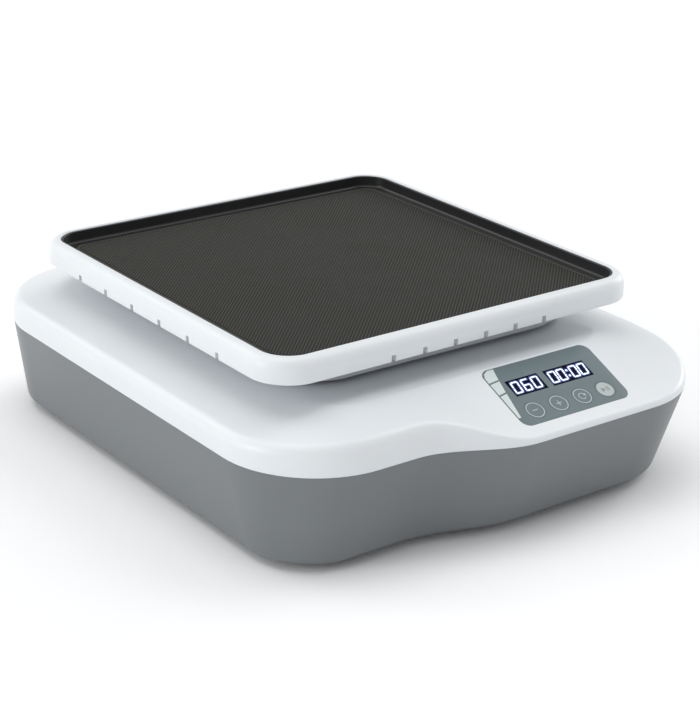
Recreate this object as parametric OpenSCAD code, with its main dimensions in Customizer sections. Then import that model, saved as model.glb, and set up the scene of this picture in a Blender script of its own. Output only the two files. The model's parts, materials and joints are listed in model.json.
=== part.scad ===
// Orbital shaker with a square tray: lower case, crowned cover with a control slope at the
// front right, and an eccentric drive that carries the tray round in a circle.
// Millimetres, +Z up, front towards -Y. The origin is on the bench under the middle of the body.

/* [Body] */
// Width of the body at the seam
body_w = 289; // [281:1:320]
// Depth of the main block, without the step of the control slope
main_d = 330; // [324:1:360]
// How far the control slope steps out at the front
chin_out = 21; // [14:1:26]
// Left end of the S curve, from the middle
wave_left = 62; // [56:1:70]
// Length of the S curve along the front
wave_len = 66; // [56:1:68]
// Corner radius of the body at the seam
corner_r = 57; // [48:1:64]
// Height of the case from its floor to the seam
case_h = 54; // [53:0.5:60]
// How much the case narrows on each side down to its floor
side_draft = 10; // [5:0.5:12]
// Corner radius of the case at its floor
floor_r = 38; // [30:1:50]
// Corner radius of the case at its floor under the control slope
chin_floor_r = 48; // [40:1:60]
// How much the case narrows under the control slope
chin_draft = 17; // [9:0.5:19]
// Rounding of the case's bottom edge
bottom_r = 5; // [3:0.5:6]
// Wall of the lower case
case_wall = 3; // [2.5:0.1:3.5]
// Wall of the top cover
cover_wall = 2.6; // [2.4:0.1:2.8]

/* [Cover] */
// Rise of the cover's flat middle above the seam
crown_h = 24.5; // [24:0.5:27]
// Half width of the cover's flat middle
flat_x = 100; // [97:1:108]
// From the cover's flat middle to the back of the body
flat_back = 38; // [32:1:44]
// Corner radius of the cover's flat middle
flat_r = 26; // [18:1:34]
// Height above the seam at which the side slope meets the outer face
side_band = 14.4; // [12:0.1:16]
// Height above the seam at which the left front slope meets the outer face
front_band = 17; // [14:0.1:18.5]
// Height above the seam at which the control slope meets the outer face
chin_band = 2.6; // [2.4:0.1:4]
// Tilt of the control slope, in degrees
chin_tilt = 23.7; // [22:0.1:26]
// Rounding of the cover's edge
edge_r = 7.5; // [6:0.5:9]
// Rounding of the cover's edge under the control slope
chin_r = 3.8; // [3:0.1:4]

/* [Tray] */
// Outer width of the square tray
tray_w = 254; // [240:1:260]
// Width of the tray's rim
rim_w = 7; // [6:0.5:8]
// Height of the tray's rim and skirt
tray_h = 14; // [13:0.5:16]
// Corner radius of the tray
tray_r = 24; // [20:1:30]
// Rounding of the rim's outer edge
rim_r = 6; // [4:0.5:6]
// Gap between the cover's flat middle and the skirt
tray_gap = 15; // [14:0.5:18]
// Wall of the skirt below the tray's floor
skirt_t = 3; // [2:0.1:4]
// Thickness of the tray's floor
tray_floor = 2.5; // [2.2:0.1:3]
// Depth from the rim to the tray's floor
tray_depth = 8.5; // [8:0.1:9]
// Width of the smooth border round the mat
mat_border = 9; // [7:0.5:12]
// Thickness of the mat
mat_t = 1.4; // [1:0.1:1.8]
// Corner radius of the mat
mat_r = 8; // [5:0.5:12]
// Wall of the tray's liner
liner_t = 0.8; // [0.6:0.1:1]
// Notches along each side of the skirt
notch_n = 6; // [2:1:7]
// Spacing of the notches
notch_pitch = 29; // [20:0.5:30]
// Width of a notch
notch_w = 3; // [2:0.1:4]
// Height of a notch
notch_h = 3.8; // [3:0.1:4.4]
// Diameter of the tray screws
tray_screw_d = 4; // [3:0.1:5]
// Half spacing of the tray screws
tray_screw_at = 51; // [48:0.5:54]

/* [Carrier] */
// Half width of the carrier
carrier_x = 104; // [101:1:108]
// Half depth of the carrier
carrier_y = 108; // [104:1:110]
// Gap between the cover and the carrier
carrier_gap = 2.5; // [2:0.1:3]
// Top plate of the carrier
carrier_t = 4; // [3:0.1:5]
// Rim wall of the carrier
carrier_wall = 4; // [3:0.1:5]
// Corner radius of the carrier
carrier_r = 40; // [30:1:44]
// Spacing of the ribs under the carrier
rib_pitch = 34; // [30:0.5:36]
// Thickness of the ribs under the carrier
rib_t = 2.4; // [2:0.1:3]

/* [Drive] */
// Diameter of the circle that the tray travels
orbit_d = 20; // [16:1:22]
// Drive shaft behind the middle of the body
drive_y = 17.5; // [15:0.5:18]
// Side spacing of the idler cranks from the drive shaft
idler_x = 75; // [73:0.5:77]
// Front and back spacing of the idler cranks from the drive shaft
idler_y = 70; // [68:0.5:72]
// Diameter of the shafts and eccentric pins
pin_d = 8; // [7.5:0.1:8.5]
// Clearance of a turning fit, on the radius
run_gap = 0.05; // [0.03:0.01:0.08]
// Outer diameter of a ball bearing
bearing_d = 22; // [21:0.5:23]
// Width of a ball bearing
bearing_w = 7; // [6:0.5:7]
// Wall of a bearing housing
housing_wall = 4; // [3:0.5:5]
// Height of a bearing housing
housing_h = 22; // [20:0.5:24]
// Diameter of the housing screws
housing_screw_d = 3; // [2.5:0.1:3.4]
// Diameter of the large pulley
pulley_d = 90; // [84:1:94]
// Teeth of the large pulley
pulley_teeth = 72; // [60:4:80]
// Belt ratio between the large and the small pulley
belt_ratio = 4; // [3.6:0.4:4]
// Distance between the pulley axes
belt_c = 100; // [97:1:102]
// Width of the belt
belt_w = 8; // [7:0.5:9]
// Thickness of the belt
belt_t = 1.6; // [1.2:0.1:2]
// Diameter of the motor
motor_d = 56; // [52:1:60]
// Gap between the motor and the case's floor
motor_gap = 7.5; // [6.5:0.5:11]
// Diameter of the motor's shaft
motor_shaft_d = 6; // [5:0.1:7]
// Thickness of the deck plate
deck_t = 3; // [2.5:0.1:3.5]
// Top of the deck plate below the seam
deck_drop = 8.5; // [8:0.1:9]
// Half width of the deck plate
deck_x = 100; // [98:0.5:102]
// Thickness of the crank arm and the counterweight
arm_h = 8; // [6:0.5:9]

/* [Controls] */
// Width of the control panel film
panel_w = 74; // [72:0.5:76]
// Length of the control panel film along the slope
panel_l = 44; // [42:0.5:45]
// Middle of the control panel to the right of the body's middle
panel_x = 38.8; // [38:0.1:42]
// From the panel's front edge to the foot of the slope
panel_in = 8.5; // [8:0.1:9.5]
// Corner radius of the panel film
panel_r = 6; // [4:0.5:7]
// Thickness of the panel film
film_t = 0.6; // [0.5:0.05:0.7]
// Depth of the film's recess in the cover
recess_t = 0.5; // [0.4:0.05:0.5]
// Radius of a key
key_r = 6.1; // [5.5:0.1:6.4]
// Spacing of the keys
key_pitch = 17; // [16:0.1:17.2]
// Travel of a key
key_travel = 0.5; // [0.3:0.05:0.6]
// Width of the speed window
speed_w = 22.8; // [21:0.1:24]
// Width of the time window
time_w = 29.2; // [27:0.1:30]
// Length of both windows along the slope
window_l = 11.8; // [11:0.1:12.4]
// Depth of the control board below the slope's face
board_drop = 10; // [9:0.1:11]

/* [Feet, screws and fittings] */
// Height of the feet below the case
foot_h = 4; // [3:0.5:6]
// Diameter of a foot
foot_d = 22; // [18:0.5:24]
// Diameter of a foot's stem
foot_stem_d = 8; // [6:0.5:10]
// Diameter of the case screws
screw_d = 4; // [3.6:0.1:4.2]
// Diameter of the screw towers
tower_d = 12; // [11.5:0.1:13]
// Diameter of the deck screws
deck_screw_d = 4; // [3:0.1:4.4]
// Width across the corners of a deck pillar
pillar_d = 11; // [9:0.5:12]
// Width of the power switch's bezel
bezel_w = 24; // [22:0.5:28]
// Length of the power switch's bezel
bezel_l = 19; // [18:0.5:22]
// Tilt of the rocker each side of level, in degrees
rocker_tilt = 8; // [6:0.5:9]
// Diameter of the power inlet's barrel
inlet_d = 12; // [11:0.5:14]
// Height of the rear fittings above the case's floor
rear_h = 26; // [24:0.5:30]

/* [Hidden] */
$fn = 48;
arc_n = 9;
fit = 0.1;

// Body heights and edges
case_low = foot_h;
floor_h = foot_h + case_wall;
seam_h = foot_h + case_h;
flat_h = seam_h + crown_h;
cover_low = flat_h - cover_wall;
half_w = body_w / 2;
back_y = (main_d + chin_out) / 2;
chin_y = -back_y;
main_y = chin_y + chin_out;
wave_right = wave_len - wave_left;
flat_y = chin_y + (crown_h - chin_band) / tan(chin_tilt);

// Tray and carrier stack
orbit_r = orbit_d / 2;
tray_y = drive_y - orbit_r;
tray_half = tray_w / 2;
bowl_half = tray_half - rim_w;
bowl_r = tray_r - rim_w;
skirt_low = flat_h + tray_gap;
rim_h = skirt_low + tray_h;
tray_top = rim_h - tray_depth;
tray_low = tray_top - tray_floor;
carrier_low = flat_h + carrier_gap;
mat_half = bowl_half - mat_border;

// Drive stack
deck_h = seam_h - deck_drop;
deck_low = deck_h - deck_t;
motor_h = deck_low - floor_h - motor_gap;
housing_d = bearing_d + 2 * housing_wall;
flange_d = housing_d + 12;
flange_t = 4;
housing_low = deck_low - housing_h;
bore_d = pin_d + 2 * run_gap;
collar_d = pin_d + 3;
deck_hole_d = pin_d + 6;
pulley_low = deck_h + 3;
pulley_lip = 1.5;
pulley_top = pulley_low + belt_w + 2 * pulley_lip;
arm_top = pulley_top + arm_h;
shaft_low = housing_low - 3;
clip_t = 1;
pin_top = tray_low - carrier_t - 0.5;
small_d = pulley_d / belt_ratio;
motor_y = drive_y + belt_c;
pin_hole_d = 2 * (orbit_r + pin_d / 2 + 2.5);
idlers = [for (sx = [-1, 1], sy = [-1, 1]) [sx * idler_x, drive_y + sy * idler_y]];
pin_seats = concat([[0, drive_y]], idlers);
boss_d = bearing_d + 8;
race_stop_d = bearing_d - 6;

function mix(a, b, t) = a + (b - a) * t;
function limit(t) = max(0, min(1, t));

// Outline points are [x, y, outward x, outward y], counter-clockwise
function arc(cx, cy, r, a0) = [for (i = [0 : arc_n - 1]) let (a = a0 + 90 * i / arc_n)
    [cx + r * cos(a), cy + r * sin(a), cos(a), sin(a)]];

function line(a, b, nx, ny, n) = [for (i = [0 : n - 1])
    [mix(a[0], b[0], i / n), mix(a[1], b[1], i / n), nx, ny]];

function wave(x0, x1, y0, y1, n) = [for (i = [0 : n - 1])
    let (t = i / n, rise = (y1 - y0) / (x1 - x0) * PI / 2 * sin(180 * t), k = norm([rise, 1]))
    [mix(x0, x1, t), mix(y0, y1, (1 - cos(180 * t)) / 2), rise / k, -1 / k]];

function outline(hw, yb, yf, yc, r, chin_corner) = concat(
    arc(hw - chin_corner, yc + chin_corner, chin_corner, -90),
    line([hw, yc + chin_corner], [hw, yb - r], 1, 0, 5),
    arc(hw - r, yb - r, r, 0),
    line([hw - r, yb], [-hw + r, yb], 0, 1, 3),
    arc(-hw + r, yb - r, r, 90),
    line([-hw, yb - r], [-hw, yf + r], -1, 0, 3),
    arc(-hw + r, yf + r, r, 180),
    line([-hw + r, yf], [-wave_left, yf], 0, -1, 2),
    wave(-wave_left, wave_right, yf, yc, 12),
    line([wave_right, yc], [hw - chin_corner, yc], 0, -1, 3));

// Rounded rectangle about the origin, in the same form
function rounded(hx, hy, r) = concat(
    arc(hx - r, hy - r, r, 0), arc(-hx + r, hy - r, r, 90),
    arc(-hx + r, -hy + r, r, 180), arc(hx - r, -hy + r, r, 270));

function flat_points(points) = [for (p = points) [p[0], p[1]]];
function level_ring(points, d, z) = [for (p = points) [p[0] - d * p[2], p[1] - d * p[3], z]];

seam_line = outline(half_w, back_y, main_y, chin_y, corner_r, corner_r);
floor_line = outline(half_w - side_draft, back_y - side_draft, main_y + side_draft,
    chin_y + chin_draft, floor_r, chin_floor_r);
flat_line = outline(flat_x, back_y - flat_back, flat_y, flat_y, flat_r, flat_r);

// A closed solid through rings of equal length, its two ends fanned about their middles
function middle(ring) = [for (k = [0 : 2]) [for (p = ring) p[k]] * [for (p = ring) 1] / len(ring)];

module loft(rings) {
    n = len(rings[0]);
    last = (len(rings) - 1) * n;
    hub = len(rings) * n;
    side = [for (k = [0 : len(rings) - 2], i = [0 : n - 1], half = [0, 1])
        let (a = k * n + i, b = k * n + (i + 1) % n)
        half == 0 ? [a, b, b + n] : [a, b + n, a + n]];
    ends = [for (i = [0 : n - 1], far = [0, 1]) let (j = (i + 1) % n)
        far == 0 ? [j, i, hub] : [last + i, last + j, hub + 1]];
    polyhedron(concat([for (ring = rings) each ring],
        [middle(rings[0]), middle(rings[len(rings) - 1])]), concat(side, ends), convexity = 8);
}

module plate(points, h) { linear_extrude(h) polygon(flat_points(points)); }

module rod(d, low, high) { translate([0, 0, low]) cylinder(d = d, h = high - low); }

module at(points) { for (p = points) translate([p[0], p[1], 0]) children(); }

// Share of the control slope in the cover's edge at an outline point, 0 to 1
slope_run = 74;
function chin_share(p) = p[0] > wave_right
    ? pow(limit((chin_y + slope_run - p[1]) / slope_run), 1.5)
    : limit((main_y - p[1]) / chin_out);

// Share of the left front slope at an outline point, 0 to 1
function front_share(p) = p[0] > wave_right ? 0
    : pow(limit((main_y + corner_r - p[1]) / corner_r), 2);

function edge_h(p) = seam_h + mix(mix(side_band, front_band, front_share(p)), chin_band,
    chin_share(p));
function edge_tilt(i) = atan((flat_h - edge_h(seam_line[i]))
    / norm([seam_line[i][0] - flat_line[i][0], seam_line[i][1] - flat_line[i][1]]));

// Ring of the cover's rounded edge at a share t of its arc, on a skin set in by wall
function edge_ring(t, wall) = [for (i = [0 : len(seam_line) - 1])
    let (p = seam_line[i], half = (90 - edge_tilt(i)) / 2,
        r = min(mix(edge_r, chin_r, chin_share(p)), (edge_h(p) - seam_h - fit) / tan(half)),
        d = r - (r - wall) * cos(2 * half * t))
    [p[0] - d * p[2], p[1] - d * p[3],
        edge_h(p) - r * tan(half) + (r - wall) * sin(2 * half * t)]];

edge_steps = [0, 0.25, 0.5, 0.75, 1];

module cover_skin() {
    loft(concat(
        [level_ring(flat_line, 0, flat_h)],
        [for (t = edge_steps) edge_ring(1 - t, 0)],
        [level_ring(seam_line, 0, seam_h), level_ring(seam_line, cover_wall, seam_h)],
        [for (t = edge_steps) edge_ring(t, cover_wall)],
        [level_ring(flat_line, 0, cover_low)]));
}

// Ring of the case's tapered wall at a height, set in by d
function case_ring(z, d) = [for (i = [0 : len(seam_line) - 1])
    let (t = (seam_h - z) / case_h, p = seam_line[i], q = floor_line[i])
    [mix(p[0], q[0], t) - d * p[2], mix(p[1], q[1], t) - d * p[3], z]];

// Lip that locates the cover on the case, lower under the control slope
lip_h = 2;
chin_lip_h = 0.5;
lip_t = 1.6;
lip_out = cover_wall + 0.15;
lip_in = lip_out + lip_t;
function lip_ring(d) = [for (p = seam_line)
    [p[0] - d * p[2], p[1] - d * p[3], seam_h + mix(lip_h, chin_lip_h, chin_share(p))]];

module case_skin() {
    loft(concat(
        [case_ring(floor_h, bottom_r), case_ring(floor_h + bottom_r * 0.3, case_wall + 0.6),
            case_ring(floor_h + bottom_r, case_wall), case_ring(seam_h - 7, case_wall),
            case_ring(seam_h - 5, lip_in), lip_ring(lip_in), lip_ring(lip_out),
            case_ring(seam_h, lip_out)],
        [for (a = [0, 30, 60, 90]) a == 0 ? case_ring(seam_h, 0)
            : case_ring(case_low + bottom_r * (1 - sin(a - 30)), bottom_r * (1 - cos(a - 30)))],
        [case_ring(case_low, bottom_r)]));
}

// Places on the body
tower_in = 32;
tower_gap = 1;
side_tower_y = 8;
towers = [[half_w - tower_in, back_y - 46], [-half_w + tower_in, back_y - 46],
    [half_w - tower_in, side_tower_y], [-half_w + tower_in, side_tower_y],
    [half_w - tower_in, chin_y + 63], [-half_w + tower_in, main_y + 50]];
foot_in = 48;
feet_at = [[half_w - foot_in, back_y - 27], [-half_w + foot_in, back_y - 27],
    [half_w - foot_in, chin_y + 52], [-half_w + foot_in, main_y + 31]];
foot_pad_h = 1;
head_d = 2 * screw_d;
head_h = 3;
tower_top = seam_h - 1.5;
screw_seat = tower_top - 8;
screw_bite = 12;
boss_top = flat_h - (half_w - tower_in + tower_d / 2 - flat_x) * (crown_h - side_band)
    / (half_w - flat_x) - 0.25 * cover_wall;

pillar_h = 3;
side_pillar_y = side_tower_y + (tower_d + pillar_d) / 2 + tower_gap;
pillars_at = [[deck_x - 10, side_pillar_y], [-deck_x + 10, side_pillar_y],
    [48, drive_y - idler_y - 10],
    [-48, drive_y - idler_y - 10], [52, motor_y + 24], [-52, motor_y + 24]];

// Driver board on the case's floor, in front of the deck plate
driver_x = -15;
driver_y = main_y + 48;
driver_w = 92;
driver_l = 46;
driver_h = floor_h + 7;
board_t = 1.6;
post_d = 6;
driver_posts_at = [for (sx = [-1, 1], sy = [-1, 1])
    [driver_x + sx * (driver_w / 2 - 5), driver_y + sy * (driver_l / 2 - 5)]];

// Frame of the control panel: local Z stands out of the slope, zero on the slope's face
panel_y = chin_y + panel_in + cos(chin_tilt) * panel_l / 2;
module on_panel() {
    translate([panel_x, panel_y, flat_h - (flat_y - panel_y) * tan(chin_tilt)])
        rotate([chin_tilt, 0, 0]) children();
}

// Frame of the back wall at a height: local Z points out of the wall, local Y down
wall_tilt = atan(side_draft / case_h);
rear_z = case_low + rear_h;
rear_y = back_y - side_draft * (seam_h - rear_z) / case_h;
module on_back(x) { translate([x, rear_y, rear_z]) rotate([-90 - wall_tilt, 0, 0]) children(); }
inlet_x = -70;
inlet_flange_d = inlet_d + 5;
inlet_in = 16;
switch_x = -30;
bezel_t = 1.6;
bezel_body_w = bezel_w - 4;
bezel_body_l = bezel_l - 4;
bezel_in = 14;

// Control panel layout along the slope
rim_gap = 0.15;
key_y = -12.7;
key_start = -24.8;
keys_at = [for (i = [0 : 3]) [key_start + i * key_pitch, key_y]];
window_y = 5;
speed_at = [-17.2, window_y];
time_at = [13, window_y];
window_lip = 1.5;
film_top = film_t - recess_t;
key_t = 1.3;
key_seat = film_top - key_t - key_travel - fit;
stem_r = 2;
switch_h = 3.5;
board_face = -board_drop + board_t;
switch_top = board_face + switch_h;
board_w = panel_w + 4;
board_l = panel_l - 4;
board_post_d = 6;
board_screw_d = 3;
board_posts_at = [for (sx = [-1, 1], sy = [-1, 1])
    [sx * (board_w / 2 - 4), sy * (board_l / 2 - 4)]];

module block(w, l, low, high) {
    translate([-w / 2, -l / 2, low]) cube([w, l, high - low]);
}

// Floor vents under the motor
vent_n = 7;
vent_w = 3;
vent_l = 34;

module lower_case() {
    color([0.49, 0.52, 0.53]) difference() {
        union() {
            case_skin();
            at(towers) rod(tower_d, floor_h - 1, tower_top);
            at(pillars_at) rod(pillar_d + 2, floor_h - 1, floor_h + pillar_h);
            at(feet_at) rod(foot_d + 4, floor_h - 1, floor_h + foot_pad_h);
        }
        at(towers) rod(head_d + 1, case_low - 1, screw_seat);
        at(towers) rod(screw_d + 4 * fit, case_low, tower_top + 1);
        at(feet_at) rod(foot_stem_d + 2 * fit, case_low - 1, floor_h + foot_pad_h + 1);
        at(pillars_at) rod(deck_screw_d + 2 * fit, case_low - 1, floor_h + pillar_h + 1);
        for (i = [0 : vent_n - 1], sy = [-1, 1])
            translate([(i - (vent_n - 1) / 2) * vent_w * 2.4, motor_y - 6 + sy * 20, 0])
                block(vent_w, vent_l, case_low - 1, floor_h + 1);
        on_back(inlet_x) rod(inlet_d + 2 * fit, -inlet_in, 5);
        on_back(switch_x) block(bezel_body_w + 2 * fit, bezel_body_l + 2 * fit, -bezel_in, 5);
    }
}

module top_cover() {
    color([0.88, 0.9, 0.91]) difference() {
        union() {
            cover_skin();
            at(towers) rod(tower_d - 1, tower_top, boss_top);
            on_panel() at(board_posts_at) rod(board_post_d, board_face, -1);
        }
        at(pin_seats) rod(pin_hole_d, cover_low - 1, flat_h + 1);
        at(towers) rod(screw_d + 2 * fit, tower_top - 1, tower_top + screw_bite + 1);
        on_panel() {
            translate([0, 0, -recess_t])
                plate(rounded(panel_w / 2 + fit, panel_l / 2 + fit, panel_r), 5);
            at(keys_at) rod(2 * (key_r + rim_gap), key_seat, 5);
            at(keys_at) rod(2 * (stem_r + 2 * fit), -2 * cover_wall, 5);
            at([speed_at]) block(speed_w - 2 * window_lip, window_l - 2 * window_lip,
                -2 * cover_wall, 5);
            at([time_at]) block(time_w - 2 * window_lip, window_l - 2 * window_lip,
                -2 * cover_wall, 5);
            at(board_posts_at) rod(board_screw_d + 2 * fit, board_face - 1, -recess_t - 1.2);
        }
    }
}

module feet() {
    stem_top = floor_h + foot_pad_h;
    color([0.12, 0.12, 0.13]) at(feet_at) union() {
        rotate_extrude() polygon([[0, 0], [foot_d / 2 - 1.5, 0], [foot_d / 2, 1.5],
            [foot_d / 2, foot_h], [0, foot_h]]);
        rod(foot_stem_d, foot_h - 1, stem_top);
        translate([0, 0, stem_top])
            cylinder(d1 = foot_stem_d + 2.4, d2 = foot_stem_d - 1, h = 2.5);
    }
}

module pan_screw(d, seat, bite) {
    rod(2 * d, seat, seat + 0.6 * d);
    rod(d, seat - bite, seat + 0.1 * d);
}

module case_screws() {
    color([0.62, 0.63, 0.65]) at(towers) {
        rod(head_d, screw_seat - head_h, screw_seat);
        rod(screw_d, screw_seat - 1, tower_top + screw_bite);
    }
}

deck_front = drive_y - idler_y - flange_d / 2 - 1;
deck_back = motor_y + motor_d / 2 + 6;
housing_screws_r = (housing_d + flange_d) / 4;
motor_screws_r = motor_d / 2 - 6;
motor_spigot_d = motor_d * 0.4;
module round_of(n, r, turn = 0) {
    for (i = [0 : n - 1]) rotate([0, 0, turn + 360 * i / n]) translate([r, 0, 0]) children();
}

module deck_plate() {
    color([0.7, 0.71, 0.73]) difference() {
        translate([0, (deck_front + deck_back) / 2, deck_low])
            plate(rounded(deck_x, (deck_back - deck_front) / 2, 10), deck_t);
        at(pin_seats) rod(deck_hole_d, deck_low - 1, deck_h + 1);
        at(pin_seats) round_of(3, housing_screws_r, 90)
            rod(housing_screw_d + 2 * fit, deck_low - 1, deck_h + 1);
        at(pillars_at) rod(deck_screw_d + 2 * fit, deck_low - 1, deck_h + 1);
        at(towers) rod(tower_d + 2 * tower_gap, deck_low - 1, deck_h + 1);
        at([[0, motor_y]]) {
            rod(motor_spigot_d + 2 * fit, deck_low - 1, deck_h + 1);
            round_of(4, motor_screws_r, 45)
                rod(housing_screw_d + 2 * fit, deck_low - 1, deck_h + 1);
        }
        at([[deck_x - 46, motor_y - 20], [-deck_x + 46, motor_y - 20]])
            rod(18, deck_low - 1, deck_h + 1);
    }
}

module deck_pillars() {
    low = floor_h + pillar_h;
    color([0.78, 0.66, 0.38]) at(pillars_at) difference() {
        union() {
            translate([0, 0, low]) cylinder(d = pillar_d, h = deck_low - low, $fn = 6);
            rod(deck_screw_d, case_low + 1, low + 1);
        }
        rod(deck_screw_d + 2 * fit, deck_low - 12, deck_low + 1);
    }
}

module deck_screws() {
    color([0.62, 0.63, 0.65]) at(pillars_at) pan_screw(deck_screw_d, deck_h, 11);
}

// Flanged housing under the deck plate, for two ball bearings
module housing() {
    difference() {
        union() {
            rod(housing_d, housing_low, deck_low);
            rod(flange_d, deck_low - flange_t, deck_low);
        }
        rod(bearing_d, deck_low - bearing_w, deck_low + 1);
        rod(bearing_d, housing_low - 1, housing_low + bearing_w);
        rod(race_stop_d, housing_low - 1, deck_low + 1);
        round_of(3, housing_screws_r, 90)
            rod(housing_screw_d + 2 * fit, deck_low - flange_t - 1, deck_low + 1);
    }
}

// Ball bearing with sunken shields, standing on a height
module bearing(low) {
    inner = bore_d / 2;
    outer = bearing_d / 2;
    ring = 1.8;
    sink = 0.6;
    translate([0, 0, low]) rotate_extrude() polygon([
        [inner, 0], [inner + ring, 0], [inner + ring, sink], [outer - ring, sink],
        [outer - ring, 0], [outer, 0], [outer, bearing_w], [outer - ring, bearing_w],
        [outer - ring, bearing_w - sink], [inner + ring, bearing_w - sink],
        [inner + ring, bearing_w], [inner, bearing_w]]);
}

module bearing_pair() {
    bearing(housing_low);
    bearing(deck_low - bearing_w);
}

module drive_housing() { color([0.72, 0.73, 0.75]) at([[0, drive_y]]) housing(); }
module idler_housings() { color([0.72, 0.73, 0.75]) at(idlers) housing(); }
module drive_bearings() { color([0.55, 0.56, 0.58]) at([[0, drive_y]]) bearing_pair(); }
module idler_bearings() { color([0.55, 0.56, 0.58]) at(idlers) bearing_pair(); }

module housing_screws() {
    color([0.62, 0.63, 0.65]) at(pin_seats) round_of(3, housing_screws_r, 90)
        pan_screw(housing_screw_d, deck_h, deck_t + flange_t);
}

// Retaining ring under the lower bearing
module clip() {
    difference() {
        rod(pin_d + 5, housing_low - 0.2 - clip_t, housing_low - 0.2);
        rod(pin_d, housing_low - 2 - clip_t, housing_low);
    }
}

shaft_top = pulley_top + arm_h / 2;
module drive_shaft() {
    color([0.75, 0.76, 0.78]) at([[0, drive_y]]) {
        union() {
            rod(pin_d, shaft_low, shaft_top);
            rod(collar_d, deck_low + 0.2, pulley_low);
        }
        clip();
    }
}

// Toothed rim between two lips
tooth_deep = 1;
module toothed_pulley(d, teeth) {
    pitch = 360 / teeth;
    rod(d + 4, pulley_low, pulley_low + pulley_lip);
    rod(d + 4, pulley_top - pulley_lip, pulley_top);
    translate([0, 0, pulley_low + pulley_lip / 2]) linear_extrude(belt_w + pulley_lip)
        polygon([for (i = [0 : teeth - 1], k = [0 : 3])
            let (a = pitch * (i + [0.06, 0.44, 0.58, 0.92][k]), r = d / 2 - (k < 2 ? 0 : tooth_deep))
            [r * cos(a), r * sin(a)]]);
}

weight_in = 21;
weight_screws_r = 32;
weight_screws = [[-20, 25], [20, 25]];
module drive_pulley() {
    color([0.16, 0.16, 0.18]) at([[0, drive_y]]) difference() {
        toothed_pulley(pulley_d, pulley_teeth);
        rod(pin_d, pulley_low - 1, pulley_top + 1);
        difference() {
            rod(pulley_d - 16, pulley_low - 1, pulley_low + 5);
            rod(26, pulley_low - 2, pulley_low + 6);
        }
        at(weight_screws) rod(screw_d + 2 * fit, pulley_low, pulley_top + 1);
        round_of(3, pulley_d * 0.32, -90) rod(14, pulley_low - 1, pulley_top + 1);
    }
}

arm_r = 19;
module crank_arm() {
    color([0.66, 0.67, 0.69]) at([[0, drive_y]]) difference() {
        translate([0, -orbit_r / 2, 0]) rod(2 * arm_r, pulley_top, arm_top);
        rod(pin_d, pulley_top - 1, shaft_top);
        translate([0, -orbit_r, 0]) rod(pin_d, arm_top - 0.7 * arm_h, arm_top + 1);
    }
}

module drive_pin() {
    color([0.75, 0.76, 0.78]) at([[0, drive_y - orbit_r]]) rod(pin_d, arm_top - 0.7 * arm_h, pin_top);
}

weight_r = 42;
module counterweight() {
    color([0.72, 0.6, 0.3]) at([[0, drive_y]]) difference() {
        rod(2 * weight_r, pulley_top, arm_top);
        translate([0, -orbit_r / 2, 0]) rod(2 * (arm_r + 1), pulley_top - 1, arm_top + 1);
        translate([-weight_r - 1, -weight_r - 1, pulley_top - 1])
            cube([2 * weight_r + 2, weight_r + 9, arm_h + 2]);
        at(weight_screws) rod(screw_d + 2 * fit, pulley_top - 1, arm_top + 1);
    }
}

module counterweight_screws() {
    color([0.62, 0.63, 0.65]) at([[0, drive_y]]) at(weight_screws)
        pan_screw(screw_d, arm_top, arm_h + 5);
}

module motor() {
    color([0.25, 0.26, 0.28]) at([[0, motor_y]]) difference() {
        union() {
            rotate_extrude() polygon([[0, deck_low - motor_h], [motor_d / 2 - 3, deck_low - motor_h],
                [motor_d / 2, deck_low - motor_h + 3], [motor_d / 2, deck_low - 6],
                [motor_d / 2 - 1, deck_low - 6], [motor_d / 2 - 1, deck_low], [0, deck_low]]);
            rod(motor_spigot_d, deck_low - 1, deck_h - 0.5);
        }
        rod(motor_shaft_d + 2 * run_gap, deck_low - motor_h + 6, deck_h + 1);
        round_of(4, motor_screws_r, 45) rod(housing_screw_d + 2 * fit, deck_low - 9, deck_low + 1);
    }
}

module motor_screws() {
    color([0.62, 0.63, 0.65]) at([[0, motor_y]]) round_of(4, motor_screws_r, 45)
        pan_screw(housing_screw_d, deck_h, deck_t + 7);
}

module motor_shaft() {
    color([0.75, 0.76, 0.78]) at([[0, motor_y]])
        rod(motor_shaft_d, deck_low - motor_h + 7, pulley_top + 1);
}

module motor_pulley() {
    color([0.7, 0.71, 0.73]) at([[0, motor_y]]) difference() {
        toothed_pulley(small_d, pulley_teeth / belt_ratio);
        rod(motor_shaft_d, pulley_low - 1, pulley_top + 1);
    }
}

belt_gap = 0.3;
module belt_loop(grow) {
    hull() {
        translate([0, drive_y]) circle(d = pulley_d + 2 * grow, $fn = 120);
        translate([0, motor_y]) circle(d = small_d + 2 * grow, $fn = 60);
    }
}

module drive_belt() {
    color([0.1, 0.1, 0.11]) translate([0, 0, pulley_low + pulley_lip + fit])
        linear_extrude(belt_w - 2 * fit) difference() {
            belt_loop(belt_gap + belt_t);
            belt_loop(belt_gap);
        }
}

web_t = 6;
module idler_crank(i) {
    color([0.66, 0.67, 0.69]) at([idlers[i]]) {
        union() {
            rod(pin_d, shaft_low, pulley_top + 1);
            rod(collar_d, deck_low + 0.2, pulley_top + 1);
            translate([0, -orbit_r / 2, 0]) rod(2 * (arm_r - 3), pulley_top, pulley_top + web_t);
            translate([0, -orbit_r, 0]) rod(pin_d, pulley_top + 1, pin_top);
        }
        clip();
    }
}

module idler_crank_front_left() { idler_crank(0); }
module idler_crank_back_left() { idler_crank(1); }
module idler_crank_front_right() { idler_crank(2); }
module idler_crank_back_right() { idler_crank(3); }

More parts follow.
